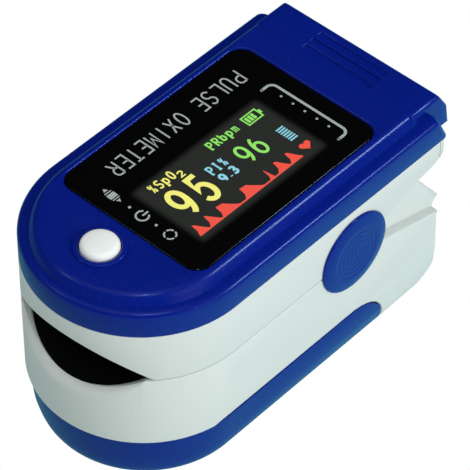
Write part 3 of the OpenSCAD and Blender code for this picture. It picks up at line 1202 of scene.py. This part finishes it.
@dataclass
class PivotCap:
    """Blue disc over one end of the hinge: a sloped rim round a flat middle with fine turned rings."""

    paint: Paint
    node: str
    side: int
    flat_radius: float = 4.5
    slope: float = 0.34
    rings: int = 5
    ring_pitch: float = 0.62
    ring_width: float = 0.09
    ring_depth: float = 0.03
    rim: float = 0.22

    def build(self) -> None:
        """Builds the cap."""
        low, high = mm(self.node)
        y, z = (low.y + high.y) / 2, (low.z + high.z) / 2
        radius = (high.z - low.z) / 2
        wall = mm("upper_shell")[1].x * self.side
        outer, inner = (high.x, low.x) if self.side > 0 else (low.x, high.x)
        name = self.node.replace("pivot_cap", "hinge_cap")
        work = Bench.rod(name, radius, (wall + 0.1 * self.side, y, z), (outer, y, z), 128)
        work.round_over(in_plane(0, outer), self.rim, 4)
        work.faces(lambda f: abs(f.normal.x) > 0.99 and abs(f.calc_center_median().x - outer) < TIGHT)
        for step in range(3):
            work.inset((radius - self.rim - self.flat_radius) / 3)
        for step in range(self.rings):
            work.inset(self.ring_pitch)
            work.inset(self.ring_width, -self.ring_depth)
            work.inset(self.ring_width, self.ring_depth)

        def sloped(point: Vector) -> Vector:
            """Lets the rim fall towards the wall."""
            away = math.hypot(point.y - y, point.z - z) - self.flat_radius
            if away > 0 and abs(point.x - wall) > 0.3:
                point.x -= self.side * self.slope * (away / (radius - self.flat_radius)) ** 1.4
            return point

        work.reshape(sloped)
        stub = Bench.rod("stub", mm("hinge_pin")[1].z - z, (inner, y, z), (wall + 0.15 * self.side, y, z))
        work.add(stub)
        work.outward().done(Body.UPPER, Slot.BLUE, self.paint["blue"], [self.node])


@dataclass
class Pad:
    """Black silicone pad on one half of the cavity, with low ribs across the finger."""

    paint: Paint
    node: str
    name: str
    body: Body
    radius: float
    axis_z: float
    up: int
    ribs: int = 9
    rib: float = 0.16
    thickness: float = 0.98
    columns: int = 72
    rows: int = 150

    def build(self) -> None:
        """Builds the pad."""
        low, high = mm(self.node)
        half = (high.x - low.x) / 2
        nose_r = mm("upper_shell")[1].x - SHELL_WALL
        nose_y = low.y + nose_r
        reach = math.asin(min(1.0, (half - 0.05) / (self.radius + 1)))
        rear = high.y - 0.05

        def place(point: Vector) -> Vector:
            """Wraps the flat grid round the cavity's arc."""
            turn = (2 * point.x - 1) * reach
            x_out = (self.radius + 1) * math.sin(turn)
            front = nose_y - math.sqrt(max(0.0, nose_r**2 - x_out**2)) + 0.05
            y = front + (rear - front) * point.y
            wave = 0.5 - 0.5 * math.cos(2 * math.pi * self.ribs * (y - rear) / (rear - low.y))
            fade = min(1.0, (1 - abs(2 * point.x - 1)) * 5, point.y * 8)
            r = self.radius + self.rib * wave * fade
            return Vector((r * math.sin(turn), y, self.axis_z + self.up * r * math.cos(turn)))

        work = Bench.grid(self.name, self.columns, self.rows).reshape(place)
        wall = self.thickness - self.rib
        work.modify("SOLIDIFY", thickness=wall, offset=float(self.up), use_even_offset=True)
        lens_low, lens_high = mm("emitter_lens" if self.up > 0 else "sensor_lens")
        past = Vector((0, 0, 3))
        work.combine("DIFFERENCE", Bench.block("light_hole", lens_low - past, lens_high + past))
        work.done(self.body, Slot.SILICONE, self.paint["silicone"], [self.node])


@dataclass
class UpperShell:
    """White upper half-shell."""

    paint: Paint
    edge: float = 0.24
    rear_corner: float = 1.8

    def build(self) -> None:
        """Builds the shell."""
        low, high = mm("upper_shell")
        work = Bench.copy_of("upper_shell", "upper_case")
        work.combine("DIFFERENCE", self.corner_post(low, high, 1), self.corner_post(low, high, -1))
        work.soften(self.edge, share=lambda p: 0.3 if p.z < low.z + 0.1 else 1.0)
        work.done(Body.UPPER, Slot.WHITE, self.paint["white"], ["upper_shell"])

    def corner_post(self, low: Vector, high: Vector, side: int) -> Bench:
        """Makes the tool that rounds one rear corner.

        Args:
            low: The shell's lowest corner.
            high: The shell's highest corner.
            side: 1 for the right corner, -1 for the left.

        Returns:
            The tool.
        """
        x, y, r = high.x - self.rear_corner, high.y - self.rear_corner, self.rear_corner
        near, far = sorted((side * x, side * (high.x + 1)))
        post = Bench.block("post", (near, y, low.z - 1), (far, high.y + 1, high.z + 1))
        drum = Bench.rod("drum", r, (side * x, y, low.z - 2), (side * x, y, high.z + 2), 96)
        return post.combine("DIFFERENCE", drum)


# --- Marks on the window ---------------------------------------------------------------


@dataclass
class Marks:
    """Printed and lit marks on the window: flat shapes that stand a hair proud."""

    paint: Paint
    shift_y: float = 0.55
    skin: float = 0.04
    letter_gap: float = 0.24
    fine_letters: str = "%m"
    fine_pen: float = 0.6
    top: float = 0.0
    made: list[Bench] = field(default_factory=list)

    def build(self) -> None:
        """Builds every mark, one piece per colour and meaning."""
        self.top = mm("display_window")[1].z
        self.readings()
        self.pulse_wave()
        self.title()
        self.front_icons()
        self.rear_bracket()

    def finish(self, name: str, finish: str) -> None:
        """Joins the shapes made so far into one piece.

        Args:
            name: The piece's name.
            finish: Its finish.
        """
        first, *others = self.made
        first.piece.name = name
        if others:
            first.add(*others)
        slot = Slot.WINDOW if finish == "print" else Slot.PANEL
        first.done(Body.UPPER, slot, self.paint[finish], smooth=0.0)
        self.made.clear()

    def solid(self, work: Bench) -> None:
        """Gives a flat shape its thickness, through the window's surface."""
        work.everything()
        bpy.ops.mesh.quads_convert_to_tris()
        work.everything()
        work.extrude((0, 0, self.skin))
        work.outward()
        self.made.append(work)

    def words(
        self, text: str, y: tuple[float, float], x: tuple[float, float], way: Reading, pen: float
    ) -> None:
        """Writes a word stroke by stroke so that it fills a box.

        Args:
            text: The word.
            y: From and to along the part.
            x: From and to across the part.
            way: Which side it is read from.
            pen: Width of the strokes.
        """
        widths = [0.45 if letter == "." else 1.0 for letter in text]
        cell = (y[1] - y[0]) / (sum(widths) - self.letter_gap)
        at = 0.0
        for letter, width in zip(text, widths):
            width_here = pen * (self.fine_pen if letter in self.fine_letters else 1.0)
            room = cell * width - cell * self.letter_gap - pen
            serifs = SERIFS.get(letter, []) if way is Reading.FROM_RIGHT else []
            for line in GLYPHS[letter] + serifs:
                points = []
                for u, v in line:
                    along = at + pen / 2 + u * room
                    rise = pen / 2 + v * (x[1] - x[0] - pen)
                    if way is Reading.FROM_RIGHT:
                        points.append((x[1] - rise, y[0] + along))
                    else:
                        points.append((x[0] + rise, y[1] - along))
                self.stroke(points, width_here)
            at += cell * width

    def stroke(self, points: Sequence[tuple[float, float]], pen: float) -> None:
        """Draws one line of even width.

        Args:
            points: The line's middle as across and along.
            pen: Its width.
        """
        spots = [Vector(p) for p in points]
        closed = (spots[0] - spots[-1]).length < TIGHT
        last = len(spots) - 1
        sides = []
        for i, spot in enumerate(spots):
            before = spots[last - 1] if closed and i == 0 else spots[max(0, i - 1)]
            after = spots[1] if closed and i == last else spots[min(last, i + 1)]
            into, out = (spot - before).normalized(), (after - spot).normalized()
            middle = (into + out).normalized()
            reach = 1 / max(0.5, middle.dot(out if out.length else into))
            sides.append(Vector((-middle.y, middle.x)) * pen / 2 * reach)

        def place(point: Vector) -> Vector:
            """Puts one vertex of the flat grid beside the line."""
            i = round(point.y * last)
            spot = spots[i] + sides[i] * (2 * point.x - 1)
            return self.at(spot.x, spot.y)

        self.solid(Bench.grid("stroke", 1, last).reshape(place))

    def outline(self, points: Sequence[tuple[float, float]]) -> None:
        """Fills an outline.

        Args:
            points: Its corners as across and along.
        """
        work = Bench.disc("outline", 1.0, (0, 0, 0), len(points))
        order = iter(points)
        work.reshape(lambda p: self.at(*next(order)))
        self.solid(work)

    def at(self, x: float, y: float) -> Vector:
        """Puts a point just under the window's surface."""
        return Vector((x, y + self.shift_y, self.top - self.skin / 2))

    def bar(self, x: tuple[float, float], y: tuple[float, float]) -> None:
        """Adds a straight bar."""
        self.outline([(x[0], y[0]), (x[1], y[0]), (x[1], y[1]), (x[0], y[1])])

    def dot(self, x: float, y: float, radius: float = 0.27) -> None:
        """Adds a round dot."""
        self.solid(Bench.disc("dot", radius, self.at(x, y), 24))

    def arc(self, x: float, y: float, radius: float, stroke: float, start: float, turn: float) -> None:
        """Adds a part of a ring.

        Args:
            x: Centre across.
            y: Centre along.
            radius: Middle radius.
            stroke: Width of the line.
            start: Where it starts, in degrees from the +X side.
            turn: How far it goes, in degrees.
        """
        centre = self.at(x, y)
        work = Bench.disc("arc", 1.0, (0, 0, 0), 3)
        out = Vector((math.cos(math.radians(start)), math.sin(math.radians(start)), 0))
        ends = iter(centre + out * (radius + half) for half in (-stroke / 2, stroke / 2))
        work.verts(lambda v: v.index == 2)
        bpy.ops.mesh.delete(type="VERT")
        work.reshape(lambda p: next(ends))
        work.everything()
        steps = max(4, int(turn / 10))
        bpy.ops.mesh.spin(steps=steps, angle=-math.radians(turn), center=centre, axis=(0, 0, 1), dupli=False)
        self.solid(work)

    def readings(self) -> None:
        """Sets the readings: saturation in yellow, perfusion in cyan and rate in green."""
        right = Reading.FROM_RIGHT
        self.words("%SpO", (-11.3, -6.9), (-3.15, -1.4), right, 0.26)
        self.words("2", (-6.75, -5.75), (-2.1, -0.85), right, 0.24)
        self.words("95", (-11.5, -4.75), (-0.5, 5.3), right, 0.8)
        self.finish("saturation_reading", "yellow")
        self.words("PI%", (-3.6, -0.4), (0.2, 1.95), right, 0.27)
        self.words("9.3", (-3.5, -0.4), (2.3, 4.0), right, 0.36)
        for step in range(7):
            self.bar((2.3 + 0.44 * step, 2.54 + 0.44 * step), (8.25, 9.6))
        self.finish("perfusion_reading", "cyan")
        self.words("PRbpm", (-0.2, 5.3), (-2.95, -1.3), right, 0.26)
        self.words("96", (1.2, 5.6), (0.45, 4.25), right, 0.44)
        self.battery_icon()
        self.finish("rate_reading", "green")

    def battery_icon(self) -> None:
        """Adds the battery's outline, its three cells and its nub."""
        low, high, left, right, line = 6.6, 9.5, -2.75, -0.85, 0.22
        self.bar((left, left + line), (low, high))
        self.bar((right - line, right), (low, high))
        self.bar((left, right), (low, low + line))
        self.bar((left, right), (high - line, high))
        self.bar((-2.15, -1.45), (high, high + 0.35))
        for step in range(3):
            start = low + 0.42 + 0.58 * step
            self.bar((left + 0.4, right - 0.4), (start, start + 0.42))

    def pulse_wave(self) -> None:
        """Draws the filled pulse wave and the heart beside it."""
        base, height, start, foot = 8.25, 2.15, -12.8, 0.25
        beats = (
            (0.0, 0.5, 0.8, 2.0),
            (2.1, 2.8, 3.1, 4.4),
            (4.5, 5.1, 6.2, 7.9),
            (9.0, 9.7, 10.8, 12.6),
            (13.8, 14.3, 14.4, 14.7),
            (15.4, 16.3, 16.7, 17.8),
            (17.9, 18.6, 19.0, 20.0),
        )
        points = [(base, start + beats[-1][-1]), (base, start)]
        for rise, crest, shoulder, fall in beats:
            curve = (
                (rise, foot),
                (rise + 0.7 * (crest - rise), 0.42 * height),
                (crest, height),
                (shoulder, 0.93 * height),
                (shoulder + 0.45 * (fall - shoulder), 0.5 * height),
                (shoulder + 0.8 * (fall - shoulder), 0.2 * height),
                (fall, foot),
            )
            points += [(base - up, start + along) for along, up in curve]
        self.outline(points)
        heart = []
        for step in range(36):
            t = 2 * math.pi * step / 36
            across = 16 * math.sin(t) ** 3
            upward = 13 * math.cos(t) - 5 * math.cos(2 * t) - 2 * math.cos(3 * t) - math.cos(4 * t)
            heart.append((7.1 - upward * 0.055, 8.95 + across * 0.058))
        self.outline(heart)
        self.finish("pulse_wave", "red")

    def title(self) -> None:
        """Prints the kind of device along the window's left side."""
        self.words("PULSE OXIMETER", (-12.2, 13.2), (-9.95, -7.05), Reading.FROM_LEFT, 0.26)
        self.finish("printed_title", "print")

    def front_icons(self) -> None:
        """Prints the row of icons in front of the display."""
        y = -15.3
        self.outline([(-7.1, y), (-6.5, y - 0.38), (-6.5, y + 0.38)])
        for start, width, height in ((-6.25, 0.16, 0.6), (-5.85, 0.95, 0.66), (-4.7, 0.16, 0.6)):
            self.bar((start, start + width), (y - height, y + height))
        self.outline([(-3.75, y), (-4.3, y + 0.36), (-4.3, y - 0.36)])
        self.dot(-2.2, y, 0.22)
        self.arc(0.1, y, 0.88, 0.27, 125, 290)
        self.bar((-0.04, 0.24), (y + 0.05, y + 1.1))
        self.dot(2.6, y, 0.22)
        for start in (10, 100, 190, 280):
            self.arc(5.1, y, 0.82, 0.25, start, 70)
        self.finish("printed_icons", "print")

    def rear_bracket(self) -> None:
        """Prints the bracket with its five dots behind the display."""
        line, rear, low, high, corner = 0.42, 14.8, -4.3, 9.6, 1.0
        self.bar((low + corner, high - corner), (rear - line / 2, rear + line / 2))
        self.arc(high - corner, rear - corner, corner, line, 0, 90)
        self.arc(low + corner, rear - corner, corner, line, 90, 90)
        for x in (low, high):
            self.bar((x - line / 2, x + line / 2), (rear - 2, rear - corner))
            self.dot(x, rear - 2, line / 2)
        for step in range(5):
            self.dot(-1.6 + 2.15 * step, 13.75, 0.19)
        self.finish("printed_bracket", "print")


# --- Lower half ------------------------------------------------------------------------


@dataclass
class LowerShell:
    """White lower half-shell, with the soft lip where the finger goes in."""

    paint: Paint
    floor_radius: float = 17.9
    lip: float = 1.6
    edge: float = 0.3
    sections: int = 72
    steps: int = 8

    def build(self) -> None:
        """Builds the shell."""
        work = Bench.copy_of("lower_shell", "lower_case")
        work.soften(self.edge, share=self.away_from_core)
        work.combine("DIFFERENCE", self.lip_cutter())
        work.done(Body.LOWER, Slot.WHITE, self.paint["white"], ["lower_shell"])

    @staticmethod
    def away_from_core(point: Vector) -> float:
        """Keeps the short edges sharp where the core's foot meets the tail, and rounds the rest."""
        core = mm("upper_shell")[1].x - CORE_GAP
        return 0.0 if abs(abs(point.x) - core) < 0.12 and point.y > 27 and point.z < 15.2 else 1.0

    def lip_cutter(self) -> Bench:
        """Makes the swept tool that rounds the mouth's lower edge.

        Returns:
            The tool.
        """
        low, high = mm("lower_shell")
        radius = high.x
        nose_y = low.y + radius
        axis_z = mm("lower_pad")[0].z + 1 + self.floor_radius
        reach = math.sqrt(self.floor_radius**2 - (axis_z - 20.4) ** 2)

        def place(point: Vector) -> Vector:
            """Puts one vertex of the flat grid on the tool."""
            share = 2 * point.y - 1
            x = reach * 0.995 * math.sin(share * math.pi / 2)
            size = max(0.02, self.lip * math.sqrt(max(0.0, 1 - (x / reach) ** 6)))
            z = axis_z - math.sqrt(self.floor_radius**2 - x * x)
            turn = math.asin(x / radius)
            out, up = self.profile(point.x, size)
            r = radius + out
            return Vector((r * math.sin(turn), nose_y - r * math.cos(turn), z + up))

        work = Bench.grid("lip_tool", self.steps + 3, self.sections).reshape(place)
        work.everything()
        bpy.ops.mesh.remove_doubles(threshold=TIGHT / 10)
        bpy.ops.mesh.select_mode(type="EDGE")
        bpy.ops.mesh.select_all(action="DESELECT")
        bpy.ops.mesh.select_non_manifold()
        bpy.ops.mesh.fill_holes(sides=0)
        return work.outward()

    def profile(self, share: float, size: float) -> tuple[float, float]:
        """Gives the tool's section: a quarter round inside, and a far corner outside.

        Args:
            share: How far round the section, from 0 to 1.
            size: Radius of the rounding.

        Returns:
            How far out from the wall, and how far up from the edge.
        """
        slots = self.steps + 3
        step = round(share * slots)
        if step <= self.steps:
            turn = math.pi / 2 * step / self.steps
            return -size + size * math.sin(turn), -size + size * math.cos(turn)
        corners = ((0.6, -size), (0.6, 0.6), (-size, 0.0))
        return corners[step - self.steps - 1]


@dataclass
class BatteryDoor:
    """Blue foot of the part: a round-nosed tray with a quarter-round rear end."""

    paint: Paint
    draw_in: float = 0.45
    shoulder: float = 3.0
    wall: float = 1.3
    rear_round: float = 7.5

    def build(self) -> None:
        """Builds the door."""
        low, high = mm("battery_door")
        nose_y, radius = low.y + high.x, high.x
        work = self.tray("door", radius, nose_y, high, 0.0)
        past = high + Vector((0, 5, 1))
        work.combine("DIFFERENCE", self.tray("hollow", radius - self.wall, nose_y, past, self.wall))
        work.combine("INTERSECT", self.rear_tool(high))
        work.soften(0.12, 2, 40)
        work.done(Body.DOOR, Slot.BLUE, self.paint["blue"], ["battery_door"])

    def tray(self, name: str, radius: float, nose_y: float, high: Vector, floor: float) -> Bench:
        """Draws the tray in towards the foot, from its top edge down.

        Args:
            name: The work's name.
            radius: Radius at the top edge.
            nose_y: Centre of the nose.
            high: The top edge's height and the rear end.
            floor: Height of the underside.

        Returns:
            The solid tray.
        """
        work = Bench.nosed(name, radius, nose_y, high.y + 6, high.z)
        work.everything()
        bpy.ops.mesh.flip_normals()
        work.extrude((0, 0, -0.01))
        work.faces(lambda f: f.calc_center_median().z < high.z - 0.005 and abs(f.normal.z) > 0.9)
        work.inset(self.draw_in, high.z - 0.01 - floor - self.shoulder)
        for thickness, depth in ((0.3, 1.3), (0.25, 0.8), (0.25, 0.5), (0.35, 0.3), (0.4, 0.1)):
            work.inset(thickness, depth)
        return work.outward()

    def rear_tool(self, high: Vector) -> Bench:
        """Makes the side outline that ends the door in a quarter round.

        Args:
            high: The door's highest corner.

        Returns:
            The tool.
        """
        centre_y, centre_z = high.y - self.rear_round, high.z - self.rear_round
        tool = Bench.block("outline", (-20, -40, -1), (20, centre_y, high.z + 1))
        drum = Bench.rod("drum", self.rear_round, (-20, centre_y, centre_z), (20, centre_y, centre_z), 160)
        foot = Bench.block("foot", (-20, centre_y - 2, -1), (20, high.y, centre_z))
        return tool.combine("UNION", drum, foot)


@dataclass
class Cell:
    """One AAA cell: sleeve, rolled shoulders, button end and flat end."""

    paint: Paint
    node: str
    button_end: int
    shoulder: float = 0.45
    nub_radius: float = 1.9
    nub: float = 0.8

    def build(self) -> None:
        """Builds the cell."""
        low, high = mm(self.node)
        x, z = (low.x + high.x) / 2, (low.z + high.z) / 2
        radius = (high.z - low.z) / 2
        flat, tip = (low.y, high.y) if self.button_end > 0 else (high.y, low.y)
        neck = tip - self.nub * self.button_end
        work = Bench.rod(self.node.replace("battery", "cell"), radius, (x, flat, z), (x, neck, z), 72)
        for end in (flat, neck):
            work.round_over(in_plane(1, end), self.shoulder, 3)
            work.faces(lambda f, y=end: abs(f.normal.y) > 0.99 and abs(f.calc_center_median().y - y) < TIGHT)
            work.inset(0.5, -0.15)
            work.inset(0.4, 0.15)
        nub = Bench.rod("nub", self.nub_radius, (x, neck - 0.2 * self.button_end, z), (x, tip, z), 40)
        nub.round_over(in_plane(1, tip), 0.25, 3)
        work.add(nub)
        mesh = work.piece.data
        mesh.materials.append(self.paint["wrap"])
        mesh.materials.append(self.paint["nickel"])
        for face in mesh.polygons:
            away = math.hypot(face.center.x - x, face.center.z - z)
            face.material_index = int(away < radius - 0.6)
        work.done(Body.LOWER, Slot.WRAP, self.paint["wrap"], [self.node])


@dataclass
class SensorCable:
    """Flat cable from the sensor past the hinge pin up to the main board."""

    paint: Paint
    half_width: float = 3.0
    thickness: float = 0.15

    def build(self) -> None:
        """Builds the cable."""
        low, high = mm("sensor_flex")
        board = mm("main_board")[0].z
        route = [(low.y, low.z), (5.9, low.z), (6.6, low.z + 0.25), (6.85, low.z + 1)]
        route += [(6.85, low.z + 1 + 1.4 * step) for step in range(1, 8)]
        route += [(6.95, 24.9), (7.3, 26.0), (8.6, 26.9), (10.6, 27.9), (12.6, 28.8), (13.6, 29.2)]
        route += [(13.85, board), (13.85, high.z)]
        Bench.clear()
        bpy.ops.mesh.primitive_plane_add(size=1)
        work = Bench("sensor_cable").settle()
        work.verts(lambda v: v.co.y > 0)
        bpy.ops.mesh.delete(type="VERT")
        ends = iter((-self.half_width, self.half_width))
        work.reshape(lambda p: Vector((next(ends), route[0][0], route[0][1] + self.thickness)))
        work.everything()
        for start, end in zip(route, route[1:]):
            work.extrude((0, end[0] - start[0], end[1] - start[1]))
        work.modify("SOLIDIFY", thickness=self.thickness, offset=0.0)
        work.place(Slot.FILM, self.paint["film"])
        work.bend((0, 0.0069, 0.0175), (0, 0.0069, 0.0255), "sensor_flex")


@dataclass
class TorsionSpring:
    """Spring on the hinge pin."""

    paint: Paint
    side: str
    coil: float = 1.4

    def build(self) -> None:
        """Builds the spring."""
        node = f"torsion_spring_{self.side}"
        low, high = mm("hinge_pin")
        middle = (low.z + high.z) / 2
        work = Bench.copy_of(node, f"closing_spring_{self.side}")
        work.place(Slot.STEEL, self.paint["steel"], math.radians(60))
        start, end = ((0, low.y * MM, (middle + shift) * MM) for shift in (-self.coil, self.coil))
        work.bend(start, end, node)


# --- The whole part --------------------------------------------------------------------


class Oximeter:
    """The part: every sub-assembly, and the CAD nodes that are only dressed."""

    DRESSED = {
        "mask": ("main_board", "emitter_board", "sensor_board"),
        "glass": ("display_panel",),
        "film": ("display_flex",),
        "epoxy": ("controller_chip", "switch_plunger", "photodiode"),
        "small": ("board_parts",),
        "nickel": ("tact_switch", "contact_plates", "contact_springs"),
        "package": ("emitter_led",),
        "lens": ("emitter_lens", "sensor_lens"),
        "steel": ("board_screws", "hinge_pin"),
    }

    def __init__(self) -> None:
        """Mixes the paint."""
        self.paint = Paint()

    def build(self) -> None:
        """Builds each sub-assembly in order."""
        paint = self.paint
        roof_z, floor_z = mm("upper_pad")[1].z - 17.8, mm("lower_pad")[0].z + 18.9
        for part in (
            TopCover(paint),
            Window(paint),
            PowerButton(paint),
            UpperShell(paint),
            LowerShell(paint),
            BatteryDoor(paint),
            PivotCap(paint, "pivot_cap_left", -1),
            PivotCap(paint, "pivot_cap_right", 1),
            Pad(paint, "upper_pad", "roof_pad", Body.UPPER, 16.8, roof_z, 1),
            Pad(paint, "lower_pad", "floor_pad", Body.LOWER, 17.9, floor_z, -1),
            Marks(paint),
            Cell(paint, "battery_left", 1),
            Cell(paint, "battery_right", -1),
            SensorCable(paint),
            TorsionSpring(paint, "left"),
            TorsionSpring(paint, "right"),
        ):
            part.build()
        self.dress()

    def dress(self) -> None:
        """Gives the CAD nodes that stay their finishes."""
        for finish, nodes in self.DRESSED.items():
            for node in nodes:
                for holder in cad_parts[node].material_slots:
                    holder.material = self.paint[finish]


# --- Studio ----------------------------------------------------------------------------


class Box(Enum):
    """The two kinds of softbox by colour: one shades the part, and one only shows in its gloss."""

    SHADE = (1.0, 1.0, 1.0)
    GLINT = (0.5, 0.7, 1.0)


@dataclass
class Studio:
    """Pale floor, soft lights and the camera."""

    azimuth: float = 42.287
    elevation: float = 46.256
    roll: float = 0.207
    distance: float = 431.75
    target: Point = (6.259, -3.521, 26.8)
    lens: float = 248.2
    sensor: float = 36.0
    floor_size: float = 6000.0
    front_tint: Tint = (0.08, 0.26, 0.3, 1.0)
    rear_tint: Tint = (0.13, 0.5, 0.6, 1.0)
    bounce: Tint = (0.62, 0.68, 0.65, 1.0)
    room_tint: Tint = (0.95, 1.0, 0.98, 1.0)
    room_strength: float = 0.3

    def build(self) -> None:
        """Sets up the studio."""
        self.camera()
        self.floor()
        self.lights()
        bpy.context.scene.view_settings.view_transform = "Standard"

    def camera(self) -> None:
        """Places the camera."""
        azimuth, elevation, roll = (math.radians(a) for a in (self.azimuth, self.elevation, self.roll))
        right = Vector((math.cos(azimuth), math.sin(azimuth), 0))
        flat = Vector((math.sin(azimuth), -math.cos(azimuth), 0))
        back = flat * math.cos(elevation) + Vector((0, 0, math.sin(elevation)))
        up = back.cross(right)
        across = right * math.cos(roll) + up * math.sin(roll)
        upward = up * math.cos(roll) - right * math.sin(roll)
        pose = Matrix((across, upward, back)).transposed().to_4x4()
        pose.translation = (Vector(self.target) + back * self.distance) * MM
        data = bpy.data.cameras.new("camera")
        data.lens, data.sensor_width, data.clip_end = self.lens, self.sensor, 20.0
        camera = bpy.data.objects.new("camera", data)
        camera.matrix_world = pose
        bpy.context.scene.collection.objects.link(camera)
        bpy.context.scene.camera = camera

    def floor(self) -> None:
        """Lays the floor: bright paper, which the gloss shows cooler and brighter towards the rear right."""
        Bench.clear()
        bpy.ops.mesh.primitive_plane_add(size=self.floor_size * MM)
        floor = bpy.context.active_object
        floor.name = "floor"
        material, board, shader = blank("floor_paper")
        split = board.node("ShaderNodeSeparateXYZ")
        board.feed(split.inputs[0], board.node("ShaderNodeTexCoord").outputs["Object"])
        rearward = board.math("ADD", split.outputs["X"], split.outputs["Y"])
        tint = board.mix(board.spread(rearward, -0.06, 0.06), self.front_tint, self.rear_tint)
        path = board.node("ShaderNodeLightPath")
        glow = board.mix(path.outputs["Is Camera Ray"], self.bounce, (1.0, 1.0, 1.0, 1.0))
        board.feed(shader.inputs["Emission Color"], board.mix(path.outputs["Is Glossy Ray"], glow, tint))
        shader.inputs["Base Color"].default_value = (0.0, 0.0, 0.0, 1.0)
        shader.inputs["Roughness"].default_value = 0.9
        shader.inputs["Specular IOR Level"].default_value = 0.0
        shader.inputs["Emission Strength"].default_value = 1.0
        floor.data.materials.append(material)

    def lights(self) -> None:
        """Hangs the softboxes and lights the pale room, which the gloss doesn't show."""
        world = bpy.data.worlds.new("room")
        world.use_nodes = True
        glow = world.node_tree.nodes["Background"]
        glow.inputs["Color"].default_value = self.room_tint
        glow.inputs["Strength"].default_value = self.room_strength
        world.cycles_visibility.glossy = False
        bpy.context.scene.world = world
        self.softbox("overhead", (-0.1, -0.2, 1.1), 0.9, 4.5, Box.SHADE)
        self.softbox("side_fill", (0.98, 0.05, 0.45), 0.6, 7.8, Box.SHADE)
        self.softbox("key_glint", (0.36, -0.32, 0.86), 0.1, 0.9, Box.GLINT)
        self.softbox("right_glint", (0.64, 0.52, 0.58), 0.14, 2.0, Box.GLINT)
        self.softbox("front_glint", (-0.46, -0.56, 0.69), 0.1, 0.3, Box.GLINT)

    @staticmethod
    def softbox(name: str, place: Point, size: float, power: float, kind: Box) -> None:
        """Hangs one softbox that faces the part.

        Args:
            name: The light's name.
            place: Where it hangs, in metres.
            size: Its side, in metres.
            power: Its power in watts.
            kind: Whether it shades the part or shows in its gloss.
        """
        data = bpy.data.lights.new(name, "AREA")
        data.size, data.energy, data.color = size, power, kind.value
        light = bpy.data.objects.new(name, data)
        light.location = place
        light.rotation_euler = Vector(place).to_track_quat("Z", "Y").to_euler()
        light.visible_glossy, light.visible_diffuse = kind is Box.GLINT, kind is Box.SHADE
        bpy.context.scene.collection.objects.link(light)


def main() -> None:
    """Builds the part and the studio."""
    logging.basicConfig(level=logging.INFO, format="%(name)s: %(message)s")
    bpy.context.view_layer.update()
    Oximeter().build()
    Studio().build()


if __name__ == "__main__":
    main()
